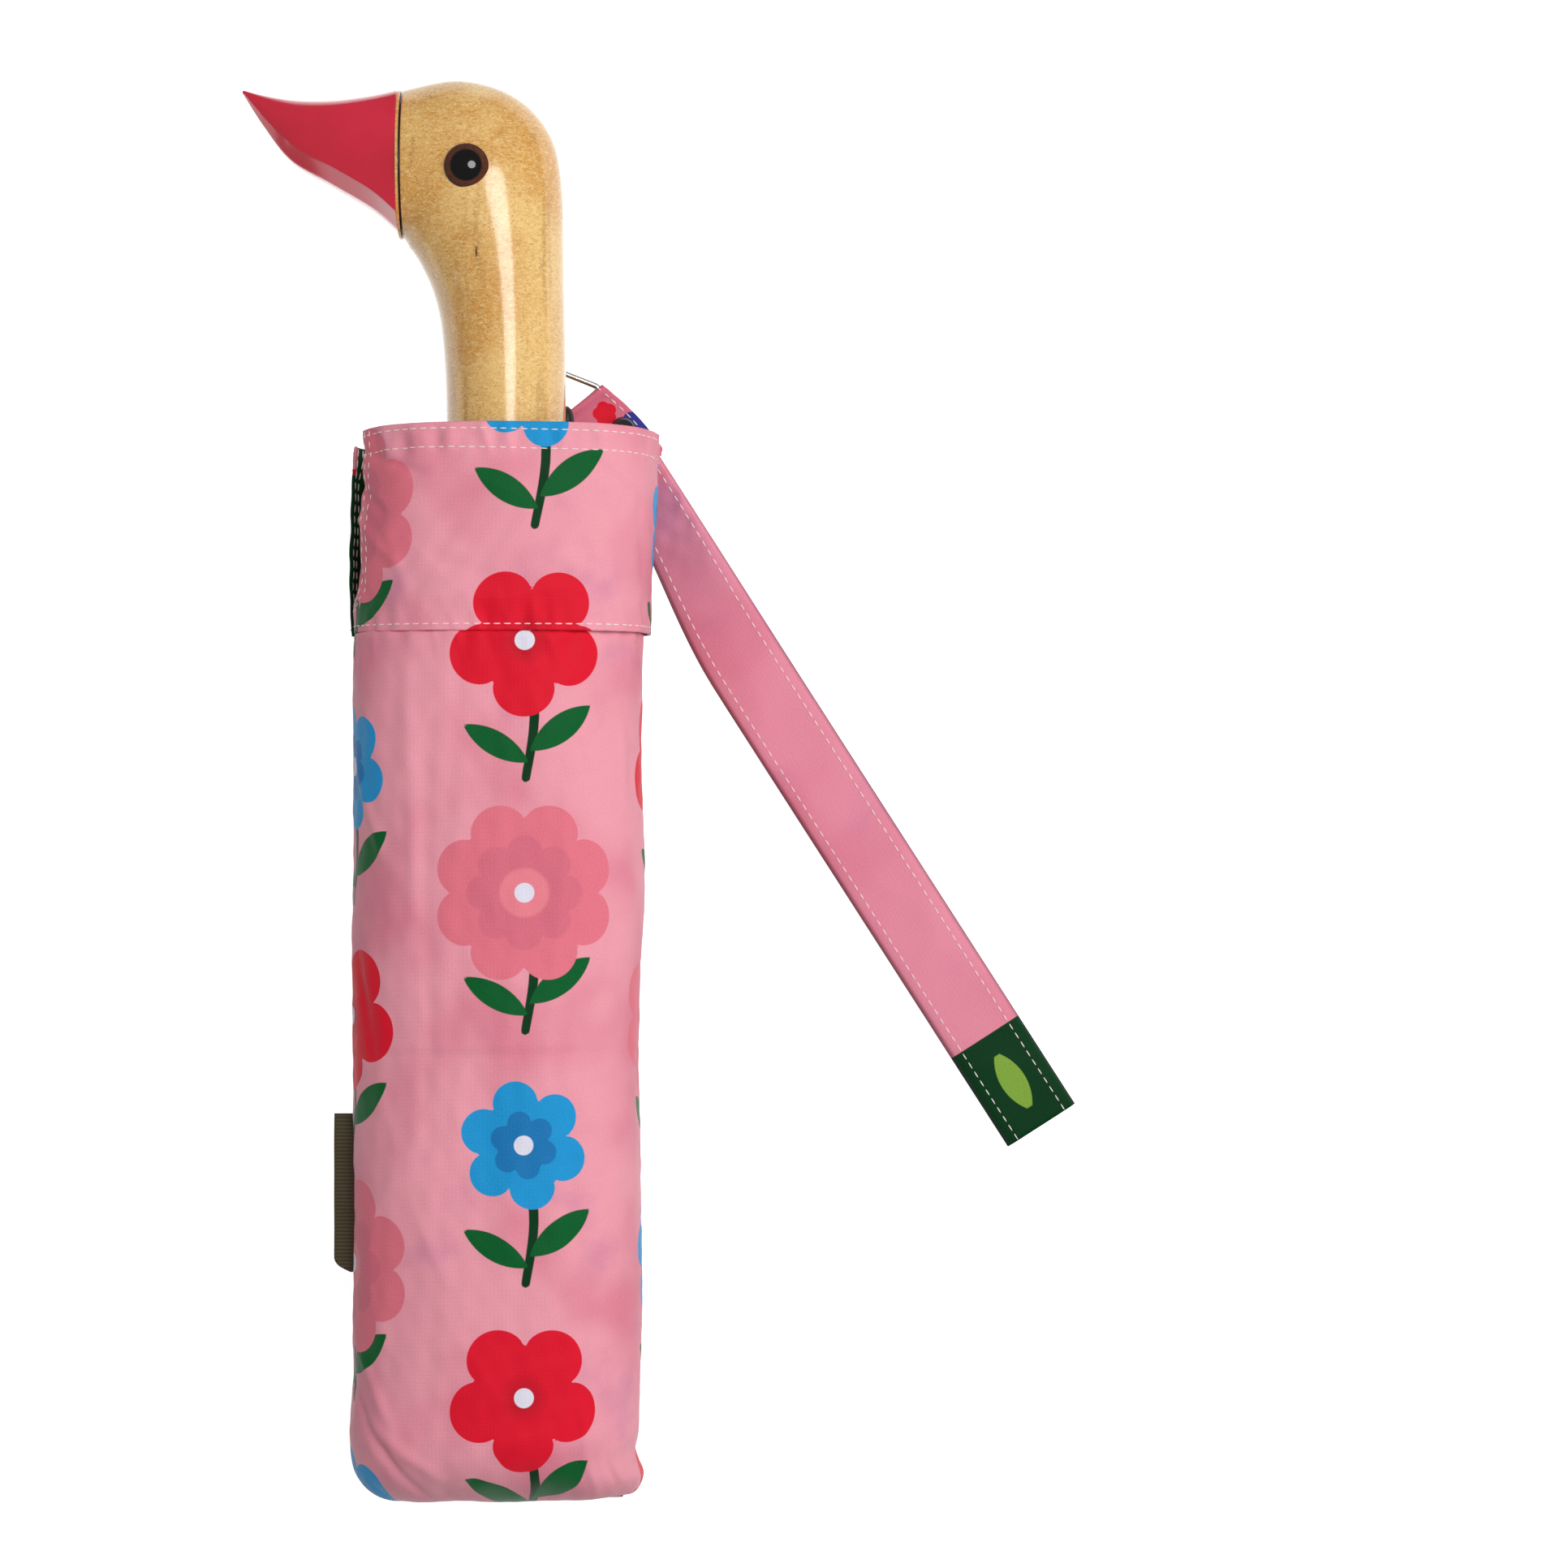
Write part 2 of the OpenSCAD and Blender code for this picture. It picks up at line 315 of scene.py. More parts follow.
def printed_cloth(name, layers, base=CLOTH_PINK, clouds=0.62):
    """Plain-woven polyester with a screen print: a soft satin sheen, a fine weave and soft dye clouds.
    Each layer is an attribute that holds a signed distance in mm, painted inside."""
    material, tree, shader = surface(
        name, Roughness=0.55, Sheen_Weight=0.06, Sheen_Roughness=0.4, Specular_IOR_Level=0.12)
    place = add(tree, "ShaderNodeAttribute", attribute_name="print_mm").outputs["Vector"]
    cloud = add(tree, "ShaderNodeTexNoise", {"Vector": place, "Scale": 1 / 34, "Detail": 2.0, "Roughness": 0.45})
    tone = mix(tree, ramp(tree, cloud.outputs[0], 0.42, 0.72), base, CLOTH_ROSE)
    tone = mix(tree, clouds, base, tone)
    wash = add(tree, "ShaderNodeTexNoise", {"Vector": place, "Scale": 1 / 22, "Detail": 3.0},
               noise_dimensions="4D")
    wash.inputs["W"].default_value = 7.3
    lilac = add(tree, "ShaderNodeMath", {0: ramp(tree, wash.outputs[0], 0.56, 0.74), 1: clouds * 0.7},
                operation="MULTIPLY").outputs[0]
    tone = mix(tree, lilac, tone, CLOTH_LILAC)
    for layer in layers:
        edge = add(tree, "ShaderNodeAttribute", attribute_name=layer).outputs["Fac"]
        soft = SOFT_LAYERS.get(layer, 0.12)
        inside = add(tree, "ShaderNodeMapRange", {0: edge, 1: -soft, 2: soft, 3: 1.0, 4: 0.0}).outputs[0]
        tone = mix(tree, inside, tone, PRINT_COLOURS[layer])
    # Threads are about 0.2 mm apart; they are drawn at 0.5 mm so that the weave shows.
    weave = [
        add(tree, "ShaderNodeTexWave", {"Vector": place, "Scale": 0.31, "Distortion": 0.6, "Detail": 1.0,
                                        "Detail Scale": 2.0}, bands_direction=way).outputs[1]
        for way in ("X", "Y")]
    threads = add(tree, "ShaderNodeMath", {0: weave[0], 1: weave[1]}, operation="MULTIPLY").outputs[0]
    speck = add(tree, "ShaderNodeTexNoise", {"Vector": place, "Scale": 2.2, "Detail": 2.0}).outputs[0]
    grain = ramp(tree, speck, 0.25, 0.75)
    tone = mix(tree, 0.22, tone, mix(tree, grain, tone, "#FFFFFF", "SOFT_LIGHT"))
    tree.links.new(tone, shader.inputs["Base Color"])
    height = add(tree, "ShaderNodeMath", {0: threads, 1: speck}, operation="ADD").outputs[0]
    bump = add(tree, "ShaderNodeBump", {"Strength": 0.16, "Distance": 0.00015, "Height": height})
    tree.links.new(bump.outputs[0], shader.inputs["Normal"])
    return material


def thread_cotton():
    """Spun polyester sewing thread: matt, cream, faintly twisted."""
    material, tree, shader = surface("spun_sewing_thread", Roughness=0.7, Sheen_Weight=0.3)
    place = add(tree, "ShaderNodeTexCoord").outputs["Object"]
    twist = add(tree, "ShaderNodeTexNoise", {"Vector": place, "Scale": 1500.0, "Detail": 1.0})
    tree.links.new(mix(tree, twist.outputs[0], "#F6D9D6", "#FFF8F2"), shader.inputs["Base Color"])
    return material


def varnished_birch():
    """Turned birch under thick varnish: warm pale wood, fleck across the grain, a wet gloss on top."""
    material, tree, shader = surface(
        "varnished_birch", Roughness=0.5, Coat_Weight=1.0, Coat_Roughness=0.14, Coat_IOR=1.5,
        Specular_IOR_Level=0.2)
    place = add(tree, "ShaderNodeTexCoord").outputs["Object"]
    along = add(tree, "ShaderNodeMapping", {"Vector": place, "Scale": (1.0, 0.1, 1.0)}).outputs[0]
    across = add(tree, "ShaderNodeMapping", {"Vector": place, "Scale": (0.75, 1.5, 0.75)}).outputs[0]
    rings = add(tree, "ShaderNodeTexNoise", {"Vector": along, "Scale": 230.0, "Detail": 4.0, "Roughness": 0.6,
                                            "Distortion": 0.5}).outputs[0]
    patch = add(tree, "ShaderNodeTexNoise", {"Vector": place, "Scale": 42.0, "Detail": 3.0}).outputs[0]
    fleck = add(tree, "ShaderNodeTexNoise", {"Vector": across, "Scale": 1250.0, "Detail": 3.0,
                                            "Roughness": 0.6, "Distortion": 1.4}).outputs[0]
    curl = add(tree, "ShaderNodeTexNoise", {"Vector": across, "Scale": 330.0, "Detail": 2.0,
                                           "Distortion": 2.0}).outputs[0]
    pores = add(tree, "ShaderNodeTexVoronoi", {"Vector": along, "Scale": 620.0, "Randomness": 1.0}).outputs[0]
    tone = mix(tree, ramp(tree, patch, 0.36, 0.66), "#F2C476", "#DEA24E")

    def over(tone, value, low, high, share, code):
        amount = add(tree, "ShaderNodeMath", {0: ramp(tree, value, low, high), 1: share},
                     operation="MULTIPLY")
        return mix(tree, amount.outputs[0], tone, code)

    tone = over(tone, rings, 0.52, 0.74, 0.55, "#B27B36")
    tone = over(tone, curl, 0.5, 0.68, 0.35, "#F8D590")
    tone = over(tone, fleck, 0.5, 0.66, 0.6, "#FCE0A6")
    tone = over(tone, fleck, 0.48, 0.34, 0.5, "#A9712F")
    tone = over(tone, pores, 0.09, 0.02, 0.4, "#8A5526")
    # One dark mineral fleck on the neck's front.
    away = add(tree, "ShaderNodeVectorMath", {0: place, 1: FLECK}, operation="SUBTRACT").outputs[0]
    away = add(tree, "ShaderNodeVectorMath", {0: away, 1: (2700.0, 520.0, 60.0)},
               operation="MULTIPLY").outputs[0]
    away = add(tree, "ShaderNodeVectorMath", {0: away}, operation="LENGTH").outputs["Value"]
    tone = over(tone, away, 1.0, 0.55, 0.85, "#4A2408")
    groove = add(tree, "ShaderNodeAttribute", attribute_name="groove").outputs["Fac"]
    tone = mix(tree, groove, tone, "#2A150A")
    tree.links.new(tone, shader.inputs["Base Color"])
    bump = add(tree, "ShaderNodeBump", {"Strength": 0.08, "Distance": 0.0002, "Height": fleck})
    tree.links.new(bump.outputs[0], shader.inputs["Normal"])
    return material


def crimson_lacquer():
    """Sprayed crimson lacquer: even and deep, with a hard gloss and slight orange peel."""
    material, tree, shader = surface(
        "crimson_lacquer", Roughness=0.3, Coat_Weight=1.0, Coat_Roughness=0.12, Coat_IOR=1.5)
    place = add(tree, "ShaderNodeTexCoord").outputs["Object"]
    depth = add(tree, "ShaderNodeTexNoise", {"Vector": place, "Scale": 45.0, "Detail": 2.0}).outputs[0]
    tree.links.new(mix(tree, ramp(tree, depth, 0.3, 0.7), "#D40B31", "#E2163D"), shader.inputs["Base Color"])
    peel = add(tree, "ShaderNodeTexNoise", {"Vector": place, "Scale": 420.0, "Detail": 1.0}).outputs[0]
    bump = add(tree, "ShaderNodeBump", {"Strength": 0.05, "Distance": 0.0002, "Height": peel})
    tree.links.new(bump.outputs[0], shader.inputs["Normal"])
    return material


def eye_glass():
    """A cast acrylic eye, dark brown round a black pupil, with a polished dome."""
    material, tree, shader = surface("cast_acrylic_eye", Roughness=0.07, Specular_IOR_Level=0.45)
    ring = add(tree, "ShaderNodeAttribute", attribute_name="from_centre").outputs["Fac"]
    place = add(tree, "ShaderNodeTexCoord").outputs["Object"]
    streak = add(tree, "ShaderNodeTexNoise", {"Vector": place, "Scale": 900.0, "Detail": 2.0}).outputs[0]
    brown = mix(tree, streak, "#3A1A10", "#6A3A24")
    tone = mix(tree, ramp(tree, ring, 0.66, 0.76), "#030202", brown)
    tone = mix(tree, ramp(tree, ring, 0.93, 0.99), tone, "#140906")
    tree.links.new(tone, shader.inputs["Base Color"])
    return material


def plated_steel(name, base, roughness, scratch):
    """Plated steel: bright metal with fine rubbing marks along it."""
    material, tree, shader = surface(name, Metallic=1.0, Roughness=roughness)
    place = add(tree, "ShaderNodeTexCoord").outputs["Object"]
    lines = add(tree, "ShaderNodeMapping", {"Vector": place, "Scale": (1.0, 0.03, 1.0)}).outputs[0]
    marks = add(tree, "ShaderNodeTexNoise", {"Vector": lines, "Scale": scratch, "Detail": 3.0}).outputs[0]
    tree.links.new(mix(tree, marks, base, "#FFFFFF", "SOFT_LIGHT"), shader.inputs["Base Color"])
    rough = add(tree, "ShaderNodeMapRange", {0: marks, 3: roughness * 0.7, 4: roughness * 1.5}).outputs[0]
    tree.links.new(rough, shader.inputs["Roughness"])
    return material


def painted_steel():
    """Black electro-painted spring steel, worn a little grey in scattered patches."""
    material, tree, shader = surface("black_painted_steel", Metallic=0.6, Roughness=0.4)
    place = add(tree, "ShaderNodeTexCoord").outputs["Object"]
    wear = add(tree, "ShaderNodeTexNoise", {"Vector": place, "Scale": 260.0, "Detail": 4.0}).outputs[0]
    tree.links.new(mix(tree, ramp(tree, wear, 0.55, 0.8), "#26272A", "#56585C"), shader.inputs["Base Color"])
    return material


def moulded_black():
    """Moulded black acetal: satin, with a fine spark-eroded texture."""
    material, tree, shader = surface("moulded_black_acetal", Roughness=0.45)
    place = add(tree, "ShaderNodeTexCoord").outputs["Object"]
    spark = add(tree, "ShaderNodeTexNoise", {"Vector": place, "Scale": 1800.0, "Detail": 2.0}).outputs[0]
    tree.links.new(mix(tree, spark, "#0B0B0C", "#1A1A1C"), shader.inputs["Base Color"])
    bump = add(tree, "ShaderNodeBump", {"Strength": 0.2, "Distance": 0.0001, "Height": spark})
    tree.links.new(bump.outputs[0], shader.inputs["Normal"])
    return material


def black_enamel():
    """Stove-enamelled brass stud: jet black and mirror-glossy."""
    material, tree, shader = surface("black_stove_enamel", Roughness=0.12, Coat_Weight=1.0,
                                     Coat_Roughness=0.04)
    place = add(tree, "ShaderNodeTexCoord").outputs["Object"]
    dust = add(tree, "ShaderNodeTexNoise", {"Vector": place, "Scale": 900.0}).outputs[0]
    tree.links.new(mix(tree, dust, "#060607", "#121214"), shader.inputs["Base Color"])
    return material


def woven_ribbon():
    """Woven satin ribbon: olive brown, ribbed across at 0.5 mm."""
    material, tree, shader = surface("woven_olive_ribbon", Roughness=0.6, Sheen_Weight=0.3)
    place = add(tree, "ShaderNodeAttribute", attribute_name="print_mm").outputs["Vector"]
    ribs = add(tree, "ShaderNodeTexWave", {"Vector": place, "Scale": 0.32, "Distortion": 0.5},
               bands_direction="Y").outputs[1]
    tree.links.new(mix(tree, ribs, "#352A12", "#54461F"), shader.inputs["Base Color"])
    bump = add(tree, "ShaderNodeBump", {"Strength": 0.4, "Distance": 0.0002, "Height": ribs})
    tree.links.new(bump.outputs[0], shader.inputs["Normal"])
    return material


SLEEVE_LAYERS = ["stem", "leaf", "coral", "coral_deep", "coral_pale", "petal_red", "petal_dark", "sky",
                 "sky_deep", "white"]
SOFT_LAYERS = {"petal_dark": 5.0, "coral_deep": 0.5, "coral_pale": 0.5}
sleeve_cloth = printed_cloth("printed_polyester_sleeve", SLEEVE_LAYERS)
strap_cloth = printed_cloth("printed_polyester_strap", ["stem", "lime"], base="#E88BA0", clouds=0.45)
tab_cloth = printed_cloth("printed_polyester_tab", ["navy", "petal_red", "white"], base="#DD7189", clouds=0.3)
canopy_cloth = printed_cloth("printed_polyester_canopy", ["coral", "petal_red", "leaf", "white"])
thread = thread_cotton()
birch = varnished_birch()
lacquer = crimson_lacquer()
acrylic = eye_glass()
nickel = plated_steel("nickel_plated_steel", "#B9BBC0", 0.22, 900.0)
chrome = plated_steel("chromed_wire", "#D8D9DC", 0.2, 700.0)
black_steel = painted_steel()
acetal = moulded_black()
enamel = black_enamel()
ribbon = woven_ribbon()


def paint(made, place, shapes):
    """Stores each point's place in the print, and its distance to each printed shape."""
    mesh = made.data
    spot = mesh.attributes.new("print_mm", "FLOAT_VECTOR", "POINT")
    flat = np.zeros((len(mesh.vertices), 3), np.float32)
    flat[:, :2] = place
    spot.data.foreach_set("vector", flat.ravel())
    for name, shape in shapes.items():
        value = shape(flat[:, 0].astype(float), flat[:, 1].astype(float))
        mesh.attributes.new(name, "FLOAT", "POINT").data.foreach_set("value", value.astype(np.float32))


# ------------------------------------------------ stitching, by Geometry Nodes

def stitch_tree():
    """A row of stitches along each line of a mesh: pitch, length and thickness are inputs, in metres."""
    tree = bpy.data.node_groups.new("stitches", "GeometryNodeTree")
    face = tree.interface
    face.new_socket("Geometry", in_out="INPUT", socket_type="NodeSocketGeometry")
    for name in ("Pitch", "Length", "Radius"):
        face.new_socket(name, in_out="INPUT", socket_type="NodeSocketFloat")
    face.new_socket("Material", in_out="INPUT", socket_type="NodeSocketMaterial")
    face.new_socket("Geometry", in_out="OUTPUT", socket_type="NodeSocketGeometry")
    start = tree.nodes.new("NodeGroupInput")
    end = tree.nodes.new("NodeGroupOutput")
    line = add(tree, "GeometryNodeMeshToCurve", {"Mesh": start.outputs["Geometry"]})
    even = add(tree, "GeometryNodeResampleCurve", {"Curve": line.outputs[0], "Length": start.outputs["Pitch"]},
               mode="LENGTH")
    half = add(tree, "ShaderNodeMath", {0: start.outputs["Length"], 1: 0.5}, operation="MULTIPLY").outputs[0]
    size = add(tree, "ShaderNodeCombineXYZ",
               {0: start.outputs["Radius"], 1: start.outputs["Radius"], 2: half}).outputs[0]
    ball = add(tree, "GeometryNodeMeshUVSphere", {"Segments": 8, "Rings": 6, "Radius": 1.0})
    grain = add(tree, "GeometryNodeTransform", {"Geometry": ball.outputs[0], "Scale": size})
    turn = add(tree, "FunctionNodeAlignRotationToVector",
               {"Vector": add(tree, "GeometryNodeInputTangent").outputs[0]}, axis="Z")
    rows = add(tree, "GeometryNodeInstanceOnPoints",
               {"Points": even.outputs[0], "Instance": grain.outputs[0], "Rotation": turn.outputs[0]})
    solid = add(tree, "GeometryNodeRealizeInstances", {0: rows.outputs[0]})
    done = add(tree, "GeometryNodeSetMaterial",
               {"Geometry": solid.outputs[0], "Material": start.outputs["Material"]})
    tree.links.new(done.outputs[0], end.inputs[0])
    return tree


STITCHES = stitch_tree()


def stitches(name, lines, pitch=3.0, length=2.2, radius=0.2):
    """Rows of stitches along lists of points in mm."""
    points, edges = [], []
    for line in lines:
        first = len(points)
        points += [tuple(np.asarray(p) * MM) for p in line]
        edges += [(k, k + 1) for k in range(first, len(points) - 1)]
    mesh = bpy.data.meshes.new(name)
    mesh.from_pydata(points, edges, [])
    made = bpy.data.objects.new(name, mesh)
    scene.collection.objects.link(made)
    rows = made.modifiers.new("rows", "NODES")
    rows.node_group = STITCHES
    sockets = {s.name: s.identifier for s in STITCHES.interface.items_tree if s.in_out == "INPUT"}
    sizes = {"Pitch": pitch * MM, "Length": length * MM, "Radius": radius * MM, "Material": thread}
    for key, value in sizes.items():
        rows[sockets[key]] = value
    baked(made)
    made.data.shade_smooth()
    return made


# ------------------------------------------------ the sleeve's cross-section

def section(left, right, low, high, power=2.6, count=1441):
    """Points round a soft oval from the middle of its underside over the left, the top and the right.

    The length along it is measured from the middle of its top."""
    turn = np.linspace(-math.pi, math.pi, count)
    sx, cz = np.sin(turn), np.cos(turn)
    mid = (left + right) / 2
    x = mid + (right - left) / 2 * np.sign(sx) * np.abs(sx) ** (2 / power)
    middle = (low + high) / 2
    z = middle + np.sign(cz) * np.abs(cz) ** (2 / power) * np.where(cz > 0, high - middle, middle - low + 0.8)
    z = np.maximum(z, low)
    along = np.concatenate([[0], np.cumsum(np.hypot(np.diff(x), np.diff(z)))])
    along -= np.interp(0, turn, along)
    return x, z, along


BODY_X, BODY_Z, BODY_S = section(SLEEVE_LEFT, SLEEVE_RIGHT, 0.0, SLEEVE_TOP - 0.2)
HALF_LOOP = float(min(-BODY_S[0], BODY_S[-1]))


# ------------------------------------------------ the print: simple flowers in a half-drop repeat

COLUMN = HALF_LOOP / 2
DROP = 66.0
PRINT_SHIFT = (9.0, 14.0)
HEART = (0.0, 7.0)


def repeated(shape, kind=None):
    """The shape in each cell of the repeat, or only in every third cell, the cells of this kind."""

    def distance(x, y):
        column = np.round((x - PRINT_SHIFT[0]) / COLUMN)
        down = (y - PRINT_SHIFT[1]) / DROP - column % 2 / 2
        row = np.round(down)
        local = shape(x - PRINT_SHIFT[0] - column * COLUMN, (down - row) * DROP)
        return local if kind is None else np.where((column + row) % 3 == kind, local, 50.0)

    return distance


def blade(foot, tip, width):
    """A pointed leaf from foot to tip, this wide in its middle."""
    foot, tip = np.asarray(foot, float), np.asarray(tip, float)
    half = float(np.hypot(*(tip - foot))) / 2
    radius = (half ** 2 + (width / 2) ** 2) / width
    side = np.array([foot[1] - tip[1], tip[0] - foot[0]]) / (2 * half)
    middle, reach = (foot + tip) / 2, radius - width / 2
    return common(disc(middle + side * reach, radius), disc(middle - side * reach, radius))


def print_shapes():
    """Round flowers in coral, red and blue by turns, each with a white eye, a stem and two leaves."""
    stem = stroke(spline([HEART, (2.6, -12), (0.4, -29)], 14), 2.8, 0.8)
    leaves = joined(blade((1.4, -22), (17.5, -10), 7.0), blade((1.2, -25), (-16.0, -15), 6.4))
    return {
        "stem": repeated(stem),
        "leaf": repeated(leaves),
        "coral": repeated(bloom(HEART, 24.0, 8, 0.22), 0),
        "coral_deep": repeated(bloom(HEART, 15.0, 8, 0.22, math.pi / 8), 0),
        "coral_pale": repeated(disc(HEART, 6.4), 0),
        "petal_red": repeated(bloom(HEART, 20.0, 5, 0.38, 0.3), 1),
        "petal_dark": repeated(disc(HEART, 2.0), 1),
        "sky": repeated(bloom(HEART, 17.0, 6, 0.34, 0.2), 2),
        "sky_deep": repeated(bloom(HEART, 9.0, 6, 0.34, 0.2), 2),
        "white": repeated(disc(HEART, 2.6)),
    }


PRINT = print_shapes()


# ------------------------------------------------ the sleeve

def crease(x, y, start, end, width, height):
    """A soft fold from start to end that fades towards its ends."""
    a, d = np.array(start, float), np.array(end, float) - np.array(start, float)
    t = ((x - a[0]) * d[0] + (y - a[1]) * d[1]) / (d @ d)
    off = ((x - a[0]) * -d[1] + (y - a[1]) * d[0]) / math.hypot(*d)
    fade = np.clip(1 - (2 * np.abs(t - 0.5)) ** 3, 0, 1) * (np.abs(t - 0.5) < 0.5)
    return height * fade * np.exp(-(off / width) ** 2)


def puckers(s, y, row, reach, wavelength, height, seed):
    """The small gathers that a row of stitches pulls in."""
    near = np.exp(-((y - row) / reach) ** 2)
    sharp = folds(s + 0.25 * (y - row), y * 0.2, wavelength * 1.7, seed)
    return height * near * (0.55 * ripple(s, y * 0.25, wavelength, seed + 50) + 0.6 * sharp - 0.2)


def corner_shape(rows):
    """The sleeve's left and right sides near its foot, as shares of the half width that each row keeps."""
    half = (SLEEVE_RIGHT - SLEEVE_LEFT) / 2
    up = rows - BASE_Y

    def rounded(radius):
        d = np.clip(up / radius, 0, 1)
        return 1 - (1 - np.sqrt(np.clip(1 - (1 - d) ** 2, 0, 1))) * radius / half

    left = rounded(11.0) + (0.9 * np.exp(-((up - 17) / 9) ** 2) - 0.5 * np.exp(-((up - 36) / 8) ** 2)) / half
    right = rounded(4.5) + (0.9 * np.exp(-((up - 6.5) / 3) ** 2) - 0.9 * np.exp(-((up - 14) / 3.5) ** 2)) / half
    return left[:, None], right[:, None]


BODY_CREASES = [
    ((-46, -22), (40, -21), 1.4, -0.22), ((-46, -19.5), (40, -18.5), 1.6, 0.14), ((-44, 62), (-28, 26), 2.0, 0.6),
    ((-42, 12), (-32, -26), 2.0, -0.6), ((-40, -98), (-25, -122), 1.9, 0.9), ((-44, -108), (-24, -132), 1.6, -1.0),
    ((-36, -116), (-12, -134), 1.9, 0.8), ((-30, -124), (-18, -140), 1.4, -0.7), ((30, -98), (34, -140), 1.3, -0.6),
    ((24, -112), (28, -142), 1.3, 0.5), ((38, -60), (33, -112), 2.2, 0.5), ((-8, -136), (6, -124), 1.6, -0.6),
    ((36, 30), (30, -10), 2.6, -0.5), ((34, 80), (40, 40), 2.0, 0.5), ((-22, 84), (-20, 10), 2.4, 0.5),
    ((-17, 70), (-16, -60), 2.6, -0.45), ((6, -30), (2, -96), 3.0, 0.4), ((20, -34), (24, -90), 2.6, -0.4),
    ((-34, -60), (-12, -48), 2.2, 0.4), ((18, 70), (36, 84), 2.2, -0.4),
]


def body_push(s, y):
    """How far the sleeve's cloth stands out from its smooth shape, in mm."""
    low = np.exp(-((y - BASE_Y) / 9) ** 2)
    push = 0.42 * ripple(s * 0.9, y * 0.32, 26, 3) + 0.24 * folds(s, y * 0.5, 30, 8) + 0.12 * ripple(s, y, 8, 4)
    push += puckers(s, y, SEAM_Y - 2, 6, 7.0, 0.5, 11)
    push += low * (0.55 * ripple(s, y * 0.2, 19, 5) + 0.15 * ripple(s, y, 7, 6))
    for start, end, width, height in BODY_CREASES:
        push += crease(s, y, start, end, width, height)
    return push


def push_out(grid, amount, wrap):
    """Moves a grid of points along its own normals."""
    if wrap:
        across = np.roll(grid, -1, 1) - np.roll(grid, 1, 1)
    else:
        across = np.gradient(grid, axis=1)
    up = np.gradient(grid, axis=0)
    normal = np.cross(across, up)
    normal /= np.maximum(np.linalg.norm(normal, axis=2, keepdims=True), 1e-9)
    middle = np.array([0.0, 0.0, AXIS_Z])
    outward = np.sign(np.sum(normal * (grid - middle) * np.array([1, 0, 1]), axis=2, keepdims=True))
    outward[outward == 0] = 1
    normal = normal * outward
    return grid + normal * amount[..., None], normal


def sleeve_grid():
    """The sleeve's body from its flat, tucked bottom up to just under the band."""
    foot = BASE_Y + np.linspace(0, 1, 60) ** 1.6 * 26
    rows = np.concatenate([foot, np.linspace(BASE_Y + 26, SEAM_Y + 1.2, 260)[1:]])
    s = np.linspace(-HALF_LOOP, HALF_LOOP, 301)[:-1]
    x0 = np.interp(s, BODY_S, BODY_X)
    z0 = np.interp(s, BODY_S, BODY_Z)
    y = rows[:, None] + 0 * s[None, :]
    # The bottom is folded flat: the height closes over the last stretch and the corners are rounded.
    d = np.clip((rows - BASE_Y) / 22, 0, 1)[:, None]
    close = 0.14 + 0.86 * np.sqrt(np.clip(1 - (1 - d) ** 2, 0, 1))
    mid = (SLEEVE_LEFT + SLEEVE_RIGHT) / 2
    left, right = corner_shape(rows)
    keep = np.where(x0[None, :] < mid, left, right)
    upward = smooth_step(y, 0, SEAM_Y)
    wander = 0.45 * np.sin(y / 17 + 0.6) * smooth_step(y, -150, -20)
    sway = np.where(x0[None, :] > mid, 1.1 * upward + wander, 0.0)
    x = mid + (x0[None, :] - mid) * keep + sway * np.abs(x0[None, :] - mid) / 38
    z = AXIS_Z - 5 * (1 - close) + (z0[None, :] - AXIS_Z) * close
    z = np.maximum(z, 0.15)
    grid = np.stack([x, y, z], 2)
    flat_side = smooth_step(z, 0.5, 9)
    push = body_push(s[None, :] + 0 * y, y) * flat_side
    # Near the foot the cloth is pinched between its seam allowances, so it moves less.
    push = np.minimum(push, 1.6) * smooth_step(y, BASE_Y - 2, BASE_Y + 5)
    push -= 1.8 * smooth_step(y, SEAM_Y - 1.4, SEAM_Y + 0.4)
    pushed, normal = push_out(grid, push, True)
    pushed[..., 2] = np.clip(pushed[..., 2], 0.05, SLEEVE_TOP + 1.2)
    pushed[..., 1] += 0.5 * np.exp(-((y - BASE_Y) / 6) ** 2) * ripple(x * 0.7, 0 * y, 26, 9)
    return pushed, normal, rows, s


def make_sleeve():
    grid, _, rows, s = sleeve_grid()
    nr, nc = grid.shape[:2]
    points = grid.reshape(-1, 3)
    # The bottom closes on a line across the middle of its lowest row.
    edge = grid[0]
    mid_z = (edge[:, 2].max() + edge[:, 2].min()) / 2
    inner = edge.copy()
    inner[:, 2] = mid_z + (edge[:, 2] - mid_z) * 0.35
    inner[:, 1] = BASE_Y
    inner[:, 0] = edge[:, 0] * 0.985
    seam = edge.copy()
    seam[:, 2] = mid_z
    seam[:, 1] = BASE_Y + 1.2
    seam[:, 0] = edge[:, 0] * 0.97
    extra = np.concatenate([inner, seam])
    faces = grid_faces(nr, nc, True)
    base = nr * nc
    for c in range(nc):
        n = (c + 1) % nc
        faces.append((c, base + c, base + n, n))
        faces.append((base + c, base + nc + c, base + nc + n, base + n))
    points = np.concatenate([points, extra])
    made = mesh_object("sleeve_cloth", points, faces, sleeve_cloth)
    spots = np.stack([np.tile(s, nr), np.repeat(rows, nc)], 1)
    ends = np.stack([np.tile(s, 2), np.repeat([BASE_Y, BASE_Y + 1.0], nc)], 1)
    paint(made, np.concatenate([spots, ends]), PRINT)
    bm = bmesh.new()
    bm.from_mesh(made.data)
    bmesh.ops.recalc_face_normals(bm, faces=bm.faces)
    bm.to_mesh(made.data)
    bm.free()
    thicken(made, 0.35, -1)
    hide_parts("sleeve_body", "sleeve_base")
    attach(made, "sleeve")


